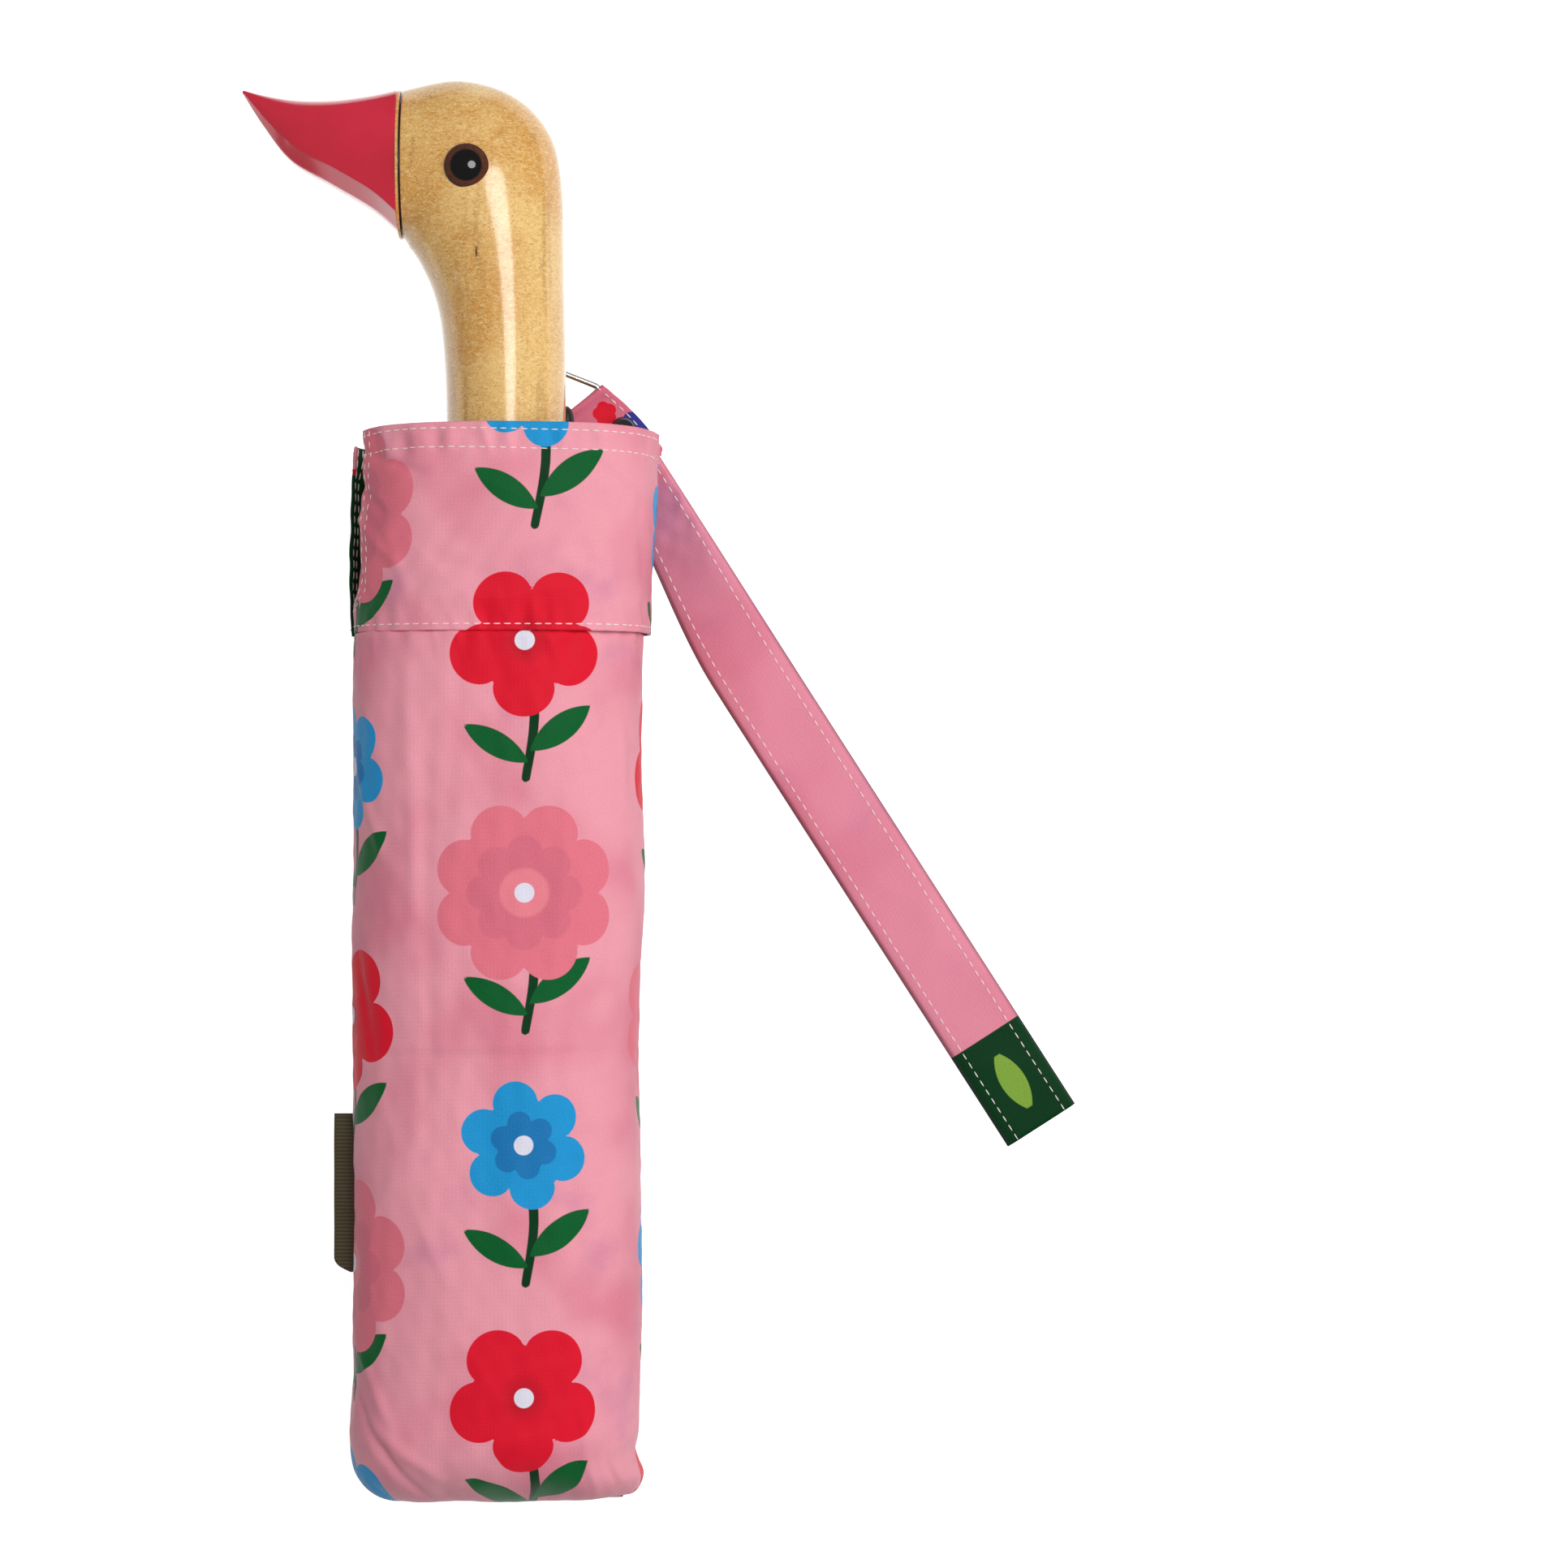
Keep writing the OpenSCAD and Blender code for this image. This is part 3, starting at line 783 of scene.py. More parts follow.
BAND_CREASES = [
    ((-52, 134), (-30, 119), 1.5, -0.8), ((-50, 125), (-26, 106), 1.6, 0.7), ((-48, 139), (-18, 129), 1.3, -0.6),
    ((10, 112), (34, 100), 3.0, 0.45), ((-20, 110), (4, 101), 2.6, -0.4), ((20, 138), (44, 124), 1.8, 0.5),
    ((38, 130), (44, 100), 2.2, -0.6), ((-10, 100), (-34, 96), 2.0, 0.45), ((-32, 118), (-22, 96), 2.2, 0.5),
    ((4, 136), (16, 110), 3.4, -0.35), ((-46, 112), (-36, 96), 1.6, -0.6),
]


SLIT_CUT = 0.34
BACK_HEIGHT = 27.0


def band_sides(y):
    """The band's front-left, back-left and right edges at a height along the sleeve."""
    up = max((y - SEAM_Y) / (MOUTH_Y - SEAM_Y), 0.0)
    front = SLEEVE_LEFT + 0.9 + 1.3 * up
    back = BAND_LEFT - 0.2 - 1.1 * math.sin(math.pi * min(up, 1.0)) ** 0.8 + 1.2 * up
    return front, back, SLEEVE_RIGHT + 2.4 + 2.6 * up ** 1.4


def band_grid():
    """The doubled band: open along its left side, its back edge standing out past its front edge."""
    rows = np.linspace(SEAM_Y - 0.8, MOUTH_Y, 110)
    grid, spots = [], []
    for y in rows:
        front, back, right = band_sides(y)
        x, z, _ = section(front, right, 0.0, SLEEVE_TOP + 0.2)
        xb, zb, _ = section(back, right, 0.0, BACK_HEIGHT)
        turn = np.linspace(-math.pi, math.pi, len(x))
        # Front panel from its left edge over the top and the right, then the back panel under to its left edge.
        top = turn > -math.pi / 2 + SLIT_CUT * smooth_step(y, SEAM_Y + 1, SEAM_Y + 12)
        low = turn <= -math.pi / 2
        px = np.concatenate([x[top], xb[low]])
        pz = np.concatenate([z[top], zb[low]])
        length = np.concatenate([[0], np.cumsum(np.hypot(np.diff(px), np.diff(pz)))])
        zero = float(np.interp(0, turn[top], length[: top.sum()]))
        even = np.linspace(0, length[-1], 301)
        gx, gz = np.interp(even, length, px), np.interp(even, length, pz)
        grid.append(np.stack([gx, np.full_like(gx, y), gz], 1))
        spots.append(np.stack([even - zero, np.full_like(gx, y)], 1))
    grid, spots = np.array(grid), np.array(spots)
    s, y = spots[..., 0], spots[..., 1]
    lift = smooth_step(y, MOUTH_Y - 30, MOUTH_Y)
    grid[..., 1] += lift * (1.9 * (grid[..., 2] - AXIS_Z) / AXIS_Z - 0.5)
    push = 0.34 * ripple(s * 0.8, y * 0.6, 24, 21) + 0.22 * folds(s, y * 0.7, 34, 25)
    push = push + 0.1 * ripple(s, y, 8, 22) + 0.45
    push += puckers(s, y, SEAM_Y + 2.5, 5, 6.5, 0.5, 23)
    push += puckers(s, y, MOUTH_Y - 4.4, 3.6, 6.0, 0.75, 24)
    for start, end, width, height in BAND_CREASES:
        push += crease(s, y, start, end, width, height)
    push *= smooth_step(grid[..., 2], 0.6, 8)
    pushed, normal = push_out(grid, np.minimum(push, 1.5), False)
    pushed[..., 2] = np.clip(pushed[..., 2], 0.02, SLEEVE_TOP + 1.8)
    return pushed, normal, spots


def make_band():
    grid, normal, spots = band_grid()
    nr, nc = grid.shape[:2]
    made = mesh_object("sleeve_band_cloth", grid.reshape(-1, 3), grid_faces(nr, nc), sleeve_cloth)
    # The facing beyond the slit is plain dark green, with pink left at its upper corner.
    end = float(spots[..., 0].max())
    scrap = polygon([(end - 2.2, MOUTH_Y - 8), (end + 4, MOUTH_Y - 8),
                     (end + 4, MOUTH_Y + 9), (end - 2.2, MOUTH_Y + 9)])
    strip = common(polygon([(end - 26, 60), (end + 3, 60), (end + 3, 160), (end - 26, 160)]), outside(scrap))
    shapes = {name: common(shape, outside(strip)) for name, shape in PRINT.items()}
    shapes["stem"] = joined(PRINT["stem"], strip)
    paint(made, spots.reshape(-1, 2), shapes)
    turn_grid_out(made)
    thicken(made, 0.8, -1)
    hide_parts("sleeve_band")
    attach(made, "sleeve")
    return grid, normal, spots


def turn_grid_out(made):
    """Flips an open sheet's faces if they look towards the shaft."""
    mid = made.data.polygons[len(made.data.polygons) // 2]
    away = mid.center - Vector((0, mid.center.y, AXIS_Z * MM))
    if mid.normal.dot(away) < 0:
        made.data.flip_normals()


def on_grid(grid, normal, row, column, lift):
    """A point on a grid at a fractional row and column, lifted along the normal."""
    nr, nc = grid.shape[:2]
    row, column = min(max(row, 0), nr - 1.001), min(max(column, 0), nc - 1.001)
    r, c = int(row), int(column)
    fr, fc = row - r, column - c

    def blend(a):
        return ((a[r, c] * (1 - fc) + a[r, c + 1] * fc) * (1 - fr)
                + (a[r + 1, c] * (1 - fc) + a[r + 1, c + 1] * fc) * fr)

    return blend(grid) + blend(normal) * lift


def make_band_stitches(grid, normal, spots):
    nr, nc = grid.shape[:2]
    per_mm = (nr - 1) / float(spots[-1, 0, 1] - spots[0, 0, 1])
    lines = []
    for back in (1.8, 6.6):
        row = nr - 1 - back * per_mm
        lines.append([on_grid(grid, normal, row + 0.5 * math.sin(c / 19), c, 0.05)
                      for c in np.linspace(2, nc - 3, 240)])
    lines.append([on_grid(grid, normal, 1.7 * per_mm, c, 0.05) for c in np.linspace(2, nc - 3, 240)])
    made = stitches("band_stitches", lines, pitch=2.7, length=2.0, radius=0.17)
    side = (nc - 1) / float(np.ptp(spots[0, :, 0]))
    front = stitches("slit_front_stitches", [
        [on_grid(grid, normal, r, inset * side, 0.02) for r in np.linspace(12, nr - 4, 60)] for inset in (1.6, 4.6)],
        pitch=2.7, length=1.7, radius=0.12)
    inside = [[on_grid(grid, normal, r, nc - 1 - inset * side, -0.85) for r in np.linspace(3, nr - 4, 60)]
              for inset in (1.8, 4.6)]
    back = stitches("slit_edge_stitches", inside)
    for piece in (made, front, back):
        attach(piece, "sleeve")


# ------------------------------------------------ label, strap, ring tab


def strip(name, right_edge, width, thickness, material, rise, lean, narrow, across=14):
    """A doubled strip of cloth whose right edge is a line; it leans up towards it and narrows where told."""
    right_edge = np.asarray(right_edge, float)
    way = np.gradient(right_edge, axis=0)
    way /= np.linalg.norm(way, axis=1, keepdims=True)
    side = np.stack([-way[:, 1], way[:, 0]], 1)
    w = np.linspace(0, 1, across)
    n = len(right_edge)
    t = np.concatenate([[0], np.cumsum(np.linalg.norm(np.diff(right_edge, axis=0), axis=1))])
    angle, share = lean(t)[:, None], narrow(t)[:, None]
    inward = (1 - w)[None, :] * width * share * np.cos(angle)
    grid = np.zeros((n, across, 3))
    grid[..., :2] = right_edge[:, None, :] - side[:, None, :] * inward[..., None]
    grid[..., 2] = rise(t[:, None], w[None, :] * width) + w[None, :] * width * share * np.sin(angle)
    # Its two long edges are folds, so they are rounded.
    lift = thickness * np.sqrt(np.clip(1 - np.abs(2 * w - 1) ** 6, 0.0, 1))
    top = grid.copy()
    top[..., 2] += lift[None, :]
    points = np.concatenate([top.reshape(-1, 3), grid.reshape(-1, 3)])
    count = n * across
    faces = grid_faces(n, across) + [tuple(reversed(f)) for f in grid_faces(n, across, start=count)]
    for r in (0, n - 1):
        for c in range(across - 1):
            a, b = r * across + c, r * across + c + 1
            faces.append((a, count + a, count + b, b))
    made = mesh_object(name, points, faces, material)
    spot = np.stack([np.repeat(t, across), np.tile((w - 0.5) * width, n)], 1)
    return made, top, np.concatenate([spot, spot]), t


def make_strap():
    low, high = box_mm("strap")
    angle = math.radians(32.72)
    way = np.array([math.sin(angle), -math.cos(angle)])
    width = 22.0
    end = np.array([high[0] - 2.5, low[1] + 9.7])
    length = 212.0
    edge = [end - way * (length - t) for t in np.linspace(0, length, 180)]

    def rise(t, w):
        wave = 0.3 + 0.35 * ripple(t, w, 30, 41) + 0.2 * folds(t, w, 34, 42)
        gather = 0.25 * np.exp(-((t - 14) / 16) ** 2) * (1 + ripple(t, w, 6, 43))
        free = smooth_step(t, 0, 12) * (1 - smooth_step(t, length - 10, length))
        return np.maximum(wave, 0) * free + gather + 0.02

    def lean(t):
        return math.radians(27) * (1 - smooth_step(t, 4, 80))

    def narrow(t):
        return 1 - 0.2 * (1 - smooth_step(t, 0, 62))

    made, top, spot, t = strip("strap_cloth", edge, width, STRAP_T - 0.15, strap_cloth, rise, lean, narrow)
    total = t[-1]
    shapes = {
        "stem": polygon([(total - 29, -14), (total - 29, 14), (total + 5, 14), (total + 5, -14)]),
        "lime": blade((total - 24, 0), (total - 5, 0), 7.0),
    }
    paint(made, spot, shapes)
    face_out(made)
    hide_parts("strap")
    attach(made, "strap")
    rows = []
    for column in (2, 11):
        rows.append([top[r, column] + np.array([0, 0, 0.06]) for r in range(1, len(t) - 1)])
    sewn = stitches("strap_stitches", rows, pitch=2.9, length=2.0, radius=0.17)
    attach(sewn, "strap")


def make_label():
    low, high = box_mm("label_tab")
    rows, columns = 60, 10
    y = np.linspace(high[1], low[1], rows)
    w = np.linspace(0, 1, columns)
    # A folded ribbon: square at its top, rounded at the foot of its free edge.
    reach = np.where(y < low[1] + 4, np.sqrt(np.clip(1 - ((low[1] + 4 - y) / 4) ** 2, 0.12, 1)), 1.0)
    inner = high[0] + 1.2
    x = inner + (low[0] - inner) * reach[:, None] * w[None, :]
    z = AXIS_Z + 0.25 * ripple(x, y[:, None], 20, 51)
    grid = np.stack([x, np.repeat(y[:, None], columns, 1), z], 2)
    made = mesh_object("side_label", grid.reshape(-1, 3), grid_faces(rows, columns), ribbon)
    paint(made, np.stack([x.ravel(), np.repeat(y, columns)], 1), {})
    thicken(made, 0.5, 0)
    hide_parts("label_tab")
    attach(made, "sleeve")


def round_bar(name, line, radius, material, sides=16, closed=False):
    """A round wire along a line of points in mm."""
    line = np.asarray(line, float)
    way = (np.roll(line, -1, 0) - np.roll(line, 1, 0)) if closed else np.gradient(line, axis=0)
    way /= np.linalg.norm(way, axis=1, keepdims=True)
    up = np.array([0.0, 0.0, 1.0])
    one = np.cross(way, up)
    one /= np.linalg.norm(one, axis=1, keepdims=True)
    two = np.cross(one, way)
    a = np.linspace(0, math.tau, sides, endpoint=False)
    ring = (line[:, None, :] + radius * (np.cos(a)[None, :, None] * one[:, None, :]
                                         + np.sin(a)[None, :, None] * two[:, None, :]))
    n = len(line)
    faces = grid_faces(n, sides, True)
    if closed:
        last = (n - 1) * sides
        faces += [(last + c, last + (c + 1) % sides, (c + 1) % sides, c) for c in range(sides)]
    else:
        faces += [tuple(range(sides)), tuple(reversed(range((n - 1) * sides, n * sides)))]
    made = mesh_object(name, ring.reshape(-1, 3), faces, material)
    return face_out(made)


RING_FOLD_A, RING_FOLD_B = np.array([14.0, 149.6]), np.array([24.3, 158.3])
RING_WAY = np.array([-0.93, 0.366])


def make_ring():
    low, high = box_mm("ring")
    z = float(low[2] + high[2]) / 2
    length = 12.4
    corners = [RING_FOLD_A, RING_FOLD_B, RING_FOLD_B + RING_WAY * length, RING_FOLD_A + RING_WAY * length]
    line = []
    for k in range(4):
        before, here, after = corners[k - 1], corners[k], corners[(k + 1) % 4]
        a = here + (before - here) / np.linalg.norm(before - here) * 2.0
        b = here + (after - here) / np.linalg.norm(after - here) * 2.0
        for t in np.linspace(0, 1, 9):
            p = (1 - t) ** 2 * a + 2 * t * (1 - t) * here + t ** 2 * b
            line.append((p[0], p[1], z))
    made = round_bar("wire_ring", line, 1.0, chrome, closed=True)
    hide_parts("ring")
    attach(made, "ring")


def make_tab():
    """The ring tab: a doubled strip folded round the ring's short side and sewn behind the mouth."""
    z = float(box_mm("ring_tab")[0][2])
    fold = [RING_FOLD_A + [-0.9, 0.5], RING_FOLD_B + [0.2, 0.9]]
    foot = [np.array([22.0, 138.5]), np.array([42.5, 139.8])]
    rows, columns = 40, 30
    grid = np.zeros((rows, columns, 3))
    for r in range(rows):
        t = r / (rows - 1)
        left = fold[0] + (foot[0] - fold[0]) * t
        right = fold[1] + (foot[1] - fold[1]) * t + np.array([0.9, 0.9]) * math.sin(math.pi * t)
        bulge = 1.7 * math.exp(-(t * 19 - 0.9) ** 2 / 1.8) + 0.5
        for c in range(columns):
            p = left + (right - left) * c / (columns - 1)
            lift = 0.3 * float(ripple(p[0], p[1], 13, 61)) + 0.3 * float(folds(p[0], p[1], 18, 62))
            grid[r, c] = (p[0], p[1], z + bulge + 0.3 + max(lift, -0.3))
    # Its outer corner at the foot is rounded.
    for r in range(rows):
        t = r / (rows - 1)
        grid[r, -6:, 0] -= np.linspace(0, 1.6, 6) * smooth_step(t, 0.9, 1.0)
    made = mesh_object("ring_tab_cloth", grid.reshape(-1, 3), grid_faces(rows, columns), tab_cloth)
    spot = grid[..., :2].reshape(-1, 2)
    shapes = {
        "navy": bloom((32.5, 146.5), 5.4, 6, 0.2),
        "petal_red": bloom((25.2, 151.4), 3.4, 5, 0.24),
        "white": disc((32.5, 146.5), 1.2),
    }
    paint(made, spot, shapes)
    if made.data.polygons[0].normal.z < 0:
        made.data.flip_normals()
    thicken(made, 0.7, -1)
    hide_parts("ring_tab")
    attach(made, "sleeve")
    line = [grid[r, columns - 4] + np.array([0, 0, 0.12]) for r in range(1, rows)]
    sewn = stitches("tab_stitches", [line], pitch=2.6, length=1.9, radius=0.17)
    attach(sewn, "sleeve")


def beak_section(station):
    """A beak ring: flat cheeks, a steep bevel along the lower edge and a small round along the upper one."""
    (ox, oy), (ix, iy), depth = station
    outer, inner = np.array((ox, oy), float), np.array((ix, iy), float)
    length = float(np.linalg.norm(outer - inner))
    bevel, turn = min(4.4, 0.3 * length), min(3.6, 0.22 * length)
    side = [(0.0, 0.0), (0.02, 0.25), (0.25, 0.42)]
    side += [(0.25 + (bevel - 0.25) * t, 0.42 + 0.5 * t) for t in np.linspace(0.15, 1, 7)]
    side += [(bevel + (length - turn - bevel) * t, 0.92 + 0.08 * math.sin(math.pi * min(t * 1.1, 1) * 0.9) - 0.02 * t)
             for t in np.linspace(0.04, 1, 16)]
    high = side[-1][1]
    side += [(length - turn + turn * math.sin(a), high * math.cos(a) ** 0.9)
             for a in np.linspace(0.15, math.pi / 2, 9)]
    side[-1] = (length, 0.0)
    ring = [(t, h * depth) for t, h in side] + [(t, -h * depth) for t, h in reversed(side[1:-1])]
    return [(*(inner + (outer - inner) * t / max(length, 1e-9)), AXIS_Z + h) for t, h in ring]


def revolve(name, profile, centre, material, turns=64, flip=1):
    """A turned piece about a vertical axis; the profile runs from the axis outwards and down, in mm."""
    a = np.linspace(0, math.tau, turns, endpoint=False)
    rings = [[(centre[0] + r * math.cos(t), centre[1] + r * math.sin(t), centre[2] + flip * h) for t in a]
             for r, h in profile[1:]]
    points = [(centre[0], centre[1], centre[2] + flip * profile[0][1])] + [p for ring in rings for p in ring]
    faces = [(0, 1 + c, 1 + (c + 1) % turns) for c in range(turns)]
    faces += grid_faces(len(rings), turns, True, 1)
    last = 1 + (len(rings) - 1) * turns
    faces.append(tuple(reversed(range(last, last + turns))))
    return face_out(mesh_object(name, points, faces, material))


def make_stud():
    low, high = box_mm("press_stud")
    centre = ((low[0] + high[0]) / 2, (low[1] + high[1]) / 2, low[2])
    r = (high[0] - low[0]) / 2
    profile = [(0, 2.1)]
    profile += [(r * 0.94 * math.sin(t), 0.75 + 1.35 * math.cos(t)) for t in np.linspace(0.15, 1.5, 12)]
    profile += [(r * 0.96, 0.75), (r, 0.6), (r, 0.1), (r * 0.96, 0.0)]
    made = revolve("stud_dome", profile, centre, enamel)
    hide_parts("press_stud")
    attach(made, "sleeve")


# ------------------------------------------------ the bird's head

HEAD = [
    ((NECK_R, NECK_Y), (-NECK_R, NECK_Y), NECK_R),
    ((NECK_R, 146), (-15.9, 146), NECK_R),
    ((15.9, 165), (-16.3, 160), 15.9),
    ((15.6, 182), (-17.5, 173), 15.9),
    ((15.4, 196), (-19.6, 181.6), 16.0),
    ((15.1, 208), (-22.6, 188.3), 16.3),
    ((13.4, 219.6), (-24.6, 191.6), 16.5),
    ((9.2, 227.6), (-25.8, 193.2), 16.4),
    ((2.6, 233.5), (-26.4, 194.3), 15.9),
    ((-5.6, 236.9), (-26.8, 195.0), 15.2),
    ((-15.0, 237.9), (-27.0, 195.3), 14.3),
    ((-27.2, 235.4), (-27.2, 195.6), 13.2),
]
SEAM_X = -27.2
BEAK = [
    ((-28.6, 235.1), (-28.6, 197.1), 12.6),
    ((-36, 233.7), (-35.5, 203.1), 10.9),
    ((-46, 232.6), (-46.5, 209.7), 8.4),
    ((-56, 232.7), (-57.5, 216.2), 5.6),
    ((-64, 233.9), (-65, 225.6), 2.9),
    ((-70.5, 235.5), (-70.9, 234.9), 0.5),
]


def oval(outer, inner, depth, count, power):
    """A ring of points in the plane through an outer and an inner outline point and the vertical."""
    outer, inner = np.array(outer, float), np.array(inner, float)
    middle, half = (outer + inner) / 2, (outer - inner) / 2
    out = []
    for k in range(count):
        a = math.tau * k / count
        c = math.copysign(abs(math.cos(a)) ** (2 / power), math.cos(a))
        s = math.copysign(abs(math.sin(a)) ** (2 / power), math.sin(a))
        p = middle + half * c
        out.append((p[0], p[1], AXIS_Z + depth * s))
    return out


def ring_solid(name, rings, material):
    """A closed solid through rings that all have the same count."""
    n = len(rings[0])
    points = [p for r in rings for p in r]
    faces = grid_faces(len(rings), n, True)
    faces += [tuple(range(n)), tuple(reversed(range(len(points) - n, len(points))))]
    return face_out(mesh_object(name, points, faces, material))


def shrunk(station, by):
    """A station drawn in by a few tenths all round."""
    outer, inner, depth = station
    outer, inner = np.array(outer, float), np.array(inner, float)
    way = (outer - inner) / np.linalg.norm(outer - inner)
    return tuple(outer - way * by), tuple(inner + way * by), depth - by


def make_head():
    flat = np.array([[*o, *i, d] for o, i, d in HEAD])
    fine = spline(flat, 110)
    count = 96
    stations = [((p[0], p[1]), (p[2], p[3]), p[4]) for p in fine]
    stations[0] = shrunk(stations[0], 0.8)
    stations.insert(1, ((NECK_R, NECK_Y + 0.8), (-NECK_R, NECK_Y + 0.8), NECK_R))
    rings = [oval(*s, count, 2.0 + 0.12 * k / len(stations)) for k, s in enumerate(stations)]
    edge = stations[-1]

    def at(station, x):
        (_, oy), (_, iy), depth = station
        return (x, oy), (x, iy), depth

    # A fine groove is turned behind the thin wooden edge that the beak sits against.
    groove = [(0.12, 0.12), (0.12, 1.1), (0.62, 1.1), (0.62, 0.2), (0.75, 0.06), (1.4, 0.1), (1.5, 0.4)]
    tail = [shrunk(at(edge, SEAM_X - back), by) for back, by in groove]
    rings += [oval(*s, count, 2.12) for s in tail]
    made = ring_solid("birch_head", rings, birch)
    deep = np.array([v.co.x for v in made.data.vertices]) / MM
    band = (deep < SEAM_X - 0.05) & (deep > SEAM_X - 0.7)
    made.data.attributes.new("groove", "FLOAT", "POINT").data.foreach_set("value", band.astype(np.float32))
    crisp = made.modifiers.new("crisp", "EDGE_SPLIT")
    crisp.split_angle = math.radians(50)
    baked(made)
    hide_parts("head")
    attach(made, "handle")


def make_beak():
    flat = np.array([[*o, *i, d] for o, i, d in BEAK])
    rings = []
    for p in spline(flat, 80):
        rings.append(beak_section(((p[0], p[1]), (p[2], p[3]), max(p[4], 0.4))))
    made = ring_solid("lacquered_beak", rings, lacquer)
    crisp = made.modifiers.new("crisp", "BEVEL")
    crisp.width = 0.25 * MM
    crisp.segments = 2
    crisp.limit_method = "ANGLE"
    crisp.angle_limit = math.radians(24)
    baked(made)
    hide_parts("beak")
    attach(made, "handle")


def make_knee_covers():
    """Moulded covers over the knees; the one beside the ring tab reaches up past the mouth."""
    joints = {j["name"]: j for j in frame["joints"]}
    for i in range(1, 9):
        pin = np.array(joints[f"outer_rib_{i}_fold"]["pos_m"]) / MM
        out = np.array([pin[0], 0.0, pin[2] - AXIS_Z])
        out /= np.linalg.norm(out)
        across = np.cross(out, (0.0, 1.0, 0.0))
        top = pin[1] + (10.6 if i == 8 else 2.4)
        rings = []
        for t in np.linspace(0, 1, 22):
            y = pin[1] - 4.5 + (top - pin[1] + 4.5) * t
            swell = max(1 - abs(2 * t - 1) ** 3.2, 0.0) ** 0.5
            middle = pin + out * (1.3 if i == 8 else 0.9)
            centre, size = np.array([middle[0], y, middle[2]]), max(swell, 0.12)
            rings.append([tuple(centre + across * 2.15 * size * math.cos(a) + out * 2.0 * size * math.sin(a))
                          for a in np.linspace(0, math.tau, 24, endpoint=False)])
        made = ring_solid(f"knee_cover_{i}", rings, acetal)
        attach(made, f"inner_rib_{i}")


def make_eyes():
    low, high = box_mm("eyes")
    centre = ((low[0] + high[0]) / 2, (low[1] + high[1]) / 2)
    r = (high[0] - low[0]) / 2
    rise = float(high[2]) - AXIS_Z
    for name, flip in (("eye_front", 1), ("eye_back", -1)):
        dome = np.linspace(0.04, 0.6, 22)
        profile = [(0, 1.1)] + [(r * math.sin(t) / math.sin(0.6), 1.1 - 1.8 * (1 - math.cos(t)) / (1 - math.cos(0.6)))
                                for t in dome]
        profile += [(r, -2.6), (r * 0.98, -3.4)]
        made = revolve(name, profile, (*centre, AXIS_Z + flip * rise), acrylic, flip=flip)
        far = [math.hypot(v.co.x / MM - centre[0], v.co.y / MM - centre[1]) / r for v in made.data.vertices]
        ring = made.data.attributes.new("from_centre", "FLOAT", "POINT")
        ring.data.foreach_set("value", np.array(far, np.float32))
        if flip == 1:
            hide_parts("eyes")
        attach(made, "handle")


# ------------------------------------------------ the canopy: half gores laid along the closed ribs, their print placed as they lie when open

def turned(point, axis_point, axis, angle):
    return Matrix.Rotation(angle, 3, axis) @ (point - axis_point) + axis_point


def polar(radius, angle):
    return radius * math.cos(angle), radius * math.sin(angle)


def canopy_stem(a):
    return stroke(spline([polar(60, a), polar(230, a + 0.25), polar(450, a + 0.12)], 24), 13, 0.6)


def canopy_dot(a, k):
    (x, y), (dx, dy) = polar(258, a + 0.02 * k), polar(16, k * 1.3)
    return disc((x + dx, y + dy), 5.5)


CORALS = np.linspace(0.3, 6.2, 6)[:-1]
CANOPY_PRINT = {
    "coral": joined(*[bloom(polar(258, a), 74, 9, 0.18, a) for a in CORALS]),
    "petal_red": joined(*[bloom(polar(360, a), 58, 7, 0.3, a * 2) for a in (0.9, 3.2, 5.3)]),
    "leaf": joined(*[canopy_stem(a) for a in (0.1, 1.6, 2.6, 4.2, 5.7)]),
    "white": joined(*[canopy_dot(a, k) for a in CORALS for k in range(5)]),
}


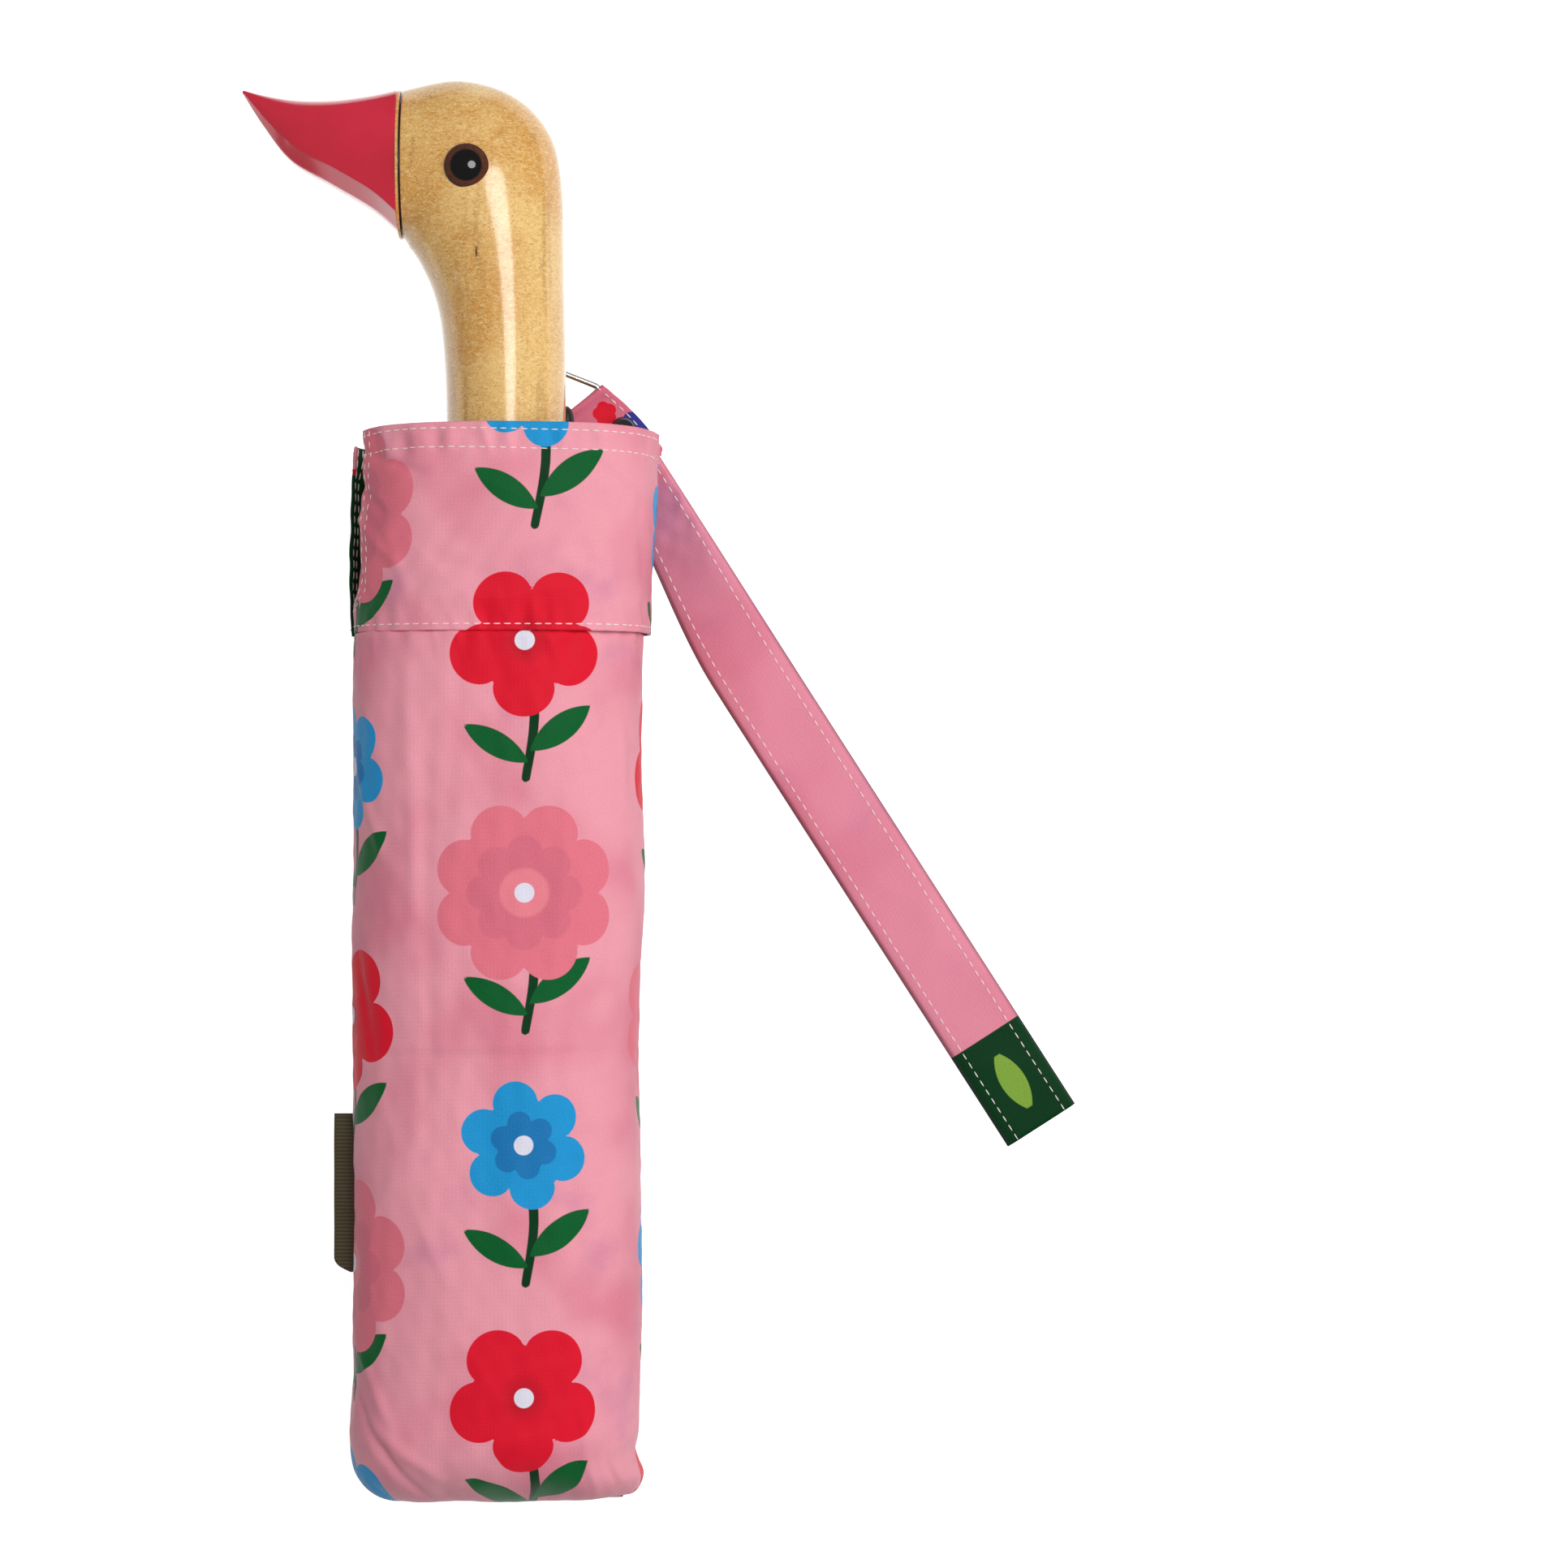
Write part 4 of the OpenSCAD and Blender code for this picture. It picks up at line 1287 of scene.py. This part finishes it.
def make_gore(i, part, joints):
    """One half gore: its near edge lies along rib i's line, and its far edge is carried to the next rib's."""
    hinge, knee = joints[f"inner_rib_{i}_fold"], joints[f"outer_rib_{i}_fold"]
    spread = joints[f"canopy_{part}_{i}_spread"]
    axis = Vector(hinge["axis"]).normalized()
    tangent = -axis
    h_pos, k_pos = Vector(hinge["pos_m"]), Vector(knee["pos_m"])
    turn_in = math.radians(hinge["range_deg"][1])
    turn_out = math.radians(knee["range_deg"][0])
    shaft = Vector((0, 0, AXIS_Z * MM))
    slide = Vector(spread["axis"]).normalized()
    reach = spread["range_m"][1]
    half = math.radians(360 / 8 / 2)

    def radius(p):
        return math.hypot(p.x - shaft.x, p.z - shaft.z)

    along = (k_pos - h_pos).normalized()
    if part == "inner":
        near, far = h_pos + along * 0.004, k_pos

        def opened(p):
            return turned(p, h_pos, axis, turn_in)
    else:
        near, far = k_pos, k_pos - along * (k_pos - h_pos).length

        def opened(p):
            return turned(turned(p, k_pos, axis, turn_out), h_pos, axis, turn_in)

    chord_far = 2 * radius(opened(far)) * math.sin(half)
    fold = (chord_far - reach) / math.cos(half)
    rows, columns = 30, 22
    scallop = 0.045 if part == "outer" else 0.0
    grid, flat = [], []
    # The share of the fold's width at which the blend carries a point by a given part of the slide.
    s_list = np.linspace(0, 1, 2001)
    carried = s_list ** 2 * (3 - 2 * s_list) * reach + s_list * fold * math.cos(half)
    for r in range(rows):
        for c in range(columns):
            u = c / (columns - 1)
            v = r / (rows - 1) * (1 - scallop * 4 * u * (1 - u))
            base = near + (far - near) * v
            want = u * 2 * radius(opened(base)) * math.sin(half)
            s = float(np.interp(want, carried, s_list))
            sag = -0.0035 * 4 * u * (1 - u)
            normal = (axis.cross(along)).normalized()
            if normal.dot(Vector((k_pos.x, 0, k_pos.z)) - Vector((shaft.x, 0, shaft.z))) < 0:
                normal = -normal
            if part == "outer":
                normal = -normal
            p = base + tangent * (s * fold) + normal * sag * 0.6
            grid.append(p / MM)
            swung = turn_in + (turn_out if part == "outer" else 0)
            away = Matrix.Rotation(swung, 3, axis) @ slide
            o = opened(base) + away * ((s * s * (3 - 2 * s)) * reach) + tangent * (s * fold)
            out = math.hypot(o.x, o.z - shaft.z) / MM
            ang = math.atan2(o.z - shaft.z, o.x)
            flat.append((out * math.cos(ang), out * math.sin(ang)))
    points = np.array([list(p) for p in grid])
    made = mesh_object(f"canopy_{part}_gore_{i}", points, grid_faces(rows, columns), canopy_cloth)
    paint(made, np.array(flat), CANOPY_PRINT)
    thicken(made, 0.25, 0)
    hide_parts(f"canopy_{part}_{i}")
    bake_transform(made)


def make_canopy():
    joints = {j["name"]: j for j in frame["joints"]}
    for i in range(1, 9):
        make_gore(i, "inner", joints)
        make_gore(i, "outer", joints)


# ------------------------------------------------ finish for the CAD pieces that stay

def finish_frame():
    looks = {"crown": acetal, "crown_cap": acetal, "runner": acetal, "handle_collar": acetal,
             "upper_tube": nickel, "lower_tube": nickel, "runner_button": nickel}
    for name, made in frame["nodes"].items():
        material = looks.get(name) or (black_steel if "rib_" in name or "stretcher_" in name else None)
        if material:
            made.data.materials.clear()
            made.data.materials.append(material)


# ------------------------------------------------ stage

VIEW_CENTRE = (74.5, 49.4)
VIEW_WIDTH = 420.8
CAMERA_HEIGHT = 1000.0


def make_camera():
    data = bpy.data.cameras.new("camera")
    data.sensor_width = 36.0
    data.lens = 36.0 * CAMERA_HEIGHT / VIEW_WIDTH
    camera = bpy.data.objects.new("camera", data)
    camera.location = (VIEW_CENTRE[0] * MM, VIEW_CENTRE[1] * MM, (CAMERA_HEIGHT + AXIS_Z) * MM)
    scene.collection.objects.link(camera)
    scene.camera = camera


def area_light(name, place, target, size, power, shape="RECTANGLE"):
    data = bpy.data.lights.new(name, "AREA")
    data.shape = shape
    data.size, data.size_y = size
    data.energy = power
    lamp = bpy.data.objects.new(name, data)
    lamp.location = place
    lamp.rotation_euler = (Vector(target) - Vector(place)).to_track_quat("-Z", "Y").to_euler()
    scene.collection.objects.link(lamp)
    return lamp


def make_stage():
    mesh = bpy.data.meshes.new("floor")
    w = 6.0
    corners = [(x, y, -0.0004) for x, y in ((-w, -w), (w, -w), (w, w), (-w, w))]
    mesh.from_pydata(corners, [], [(0, 1, 2, 3)])
    floor = bpy.data.objects.new("floor", mesh)
    scene.collection.objects.link(floor)
    material, _, shader = surface("pale_floor", Roughness=0.9, Specular_IOR_Level=0.0)
    shader.inputs["Base Color"].default_value = colour("#F4F4F4")
    shader.inputs["Emission Color"].default_value = colour("#FFFFFF")
    shader.inputs["Emission Strength"].default_value = 0.8
    mesh.materials.append(material)
    floor.visible_diffuse = False
    world = bpy.data.worlds.new("studio")
    world.use_nodes = True
    world.node_tree.nodes["Background"].inputs["Color"].default_value = colour("#FFFFFF")
    world.node_tree.nodes["Background"].inputs["Strength"].default_value = 0.30
    scene.world = world
    aim = (0.0, 0.06, 0.03)
    area_light("side_soft_box", (0.90, 0.10, 0.90), aim, (0.62, 1.7), 8.6).visible_glossy = False
    area_light("key_panel", (0.235, 0.40, 1.15), aim, (0.44, 0.44), 4.6, "ELLIPSE")
    scene.view_settings.view_transform = "Standard"


# ------------------------------------------------ assembly

make_camera()
make_stage()
finish_frame()
make_sleeve()
make_band_stitches(*make_band())
make_label()
make_strap()
make_ring()
make_tab()
make_stud()
make_head()
make_beak()
make_eyes()
make_knee_covers()
make_canopy()
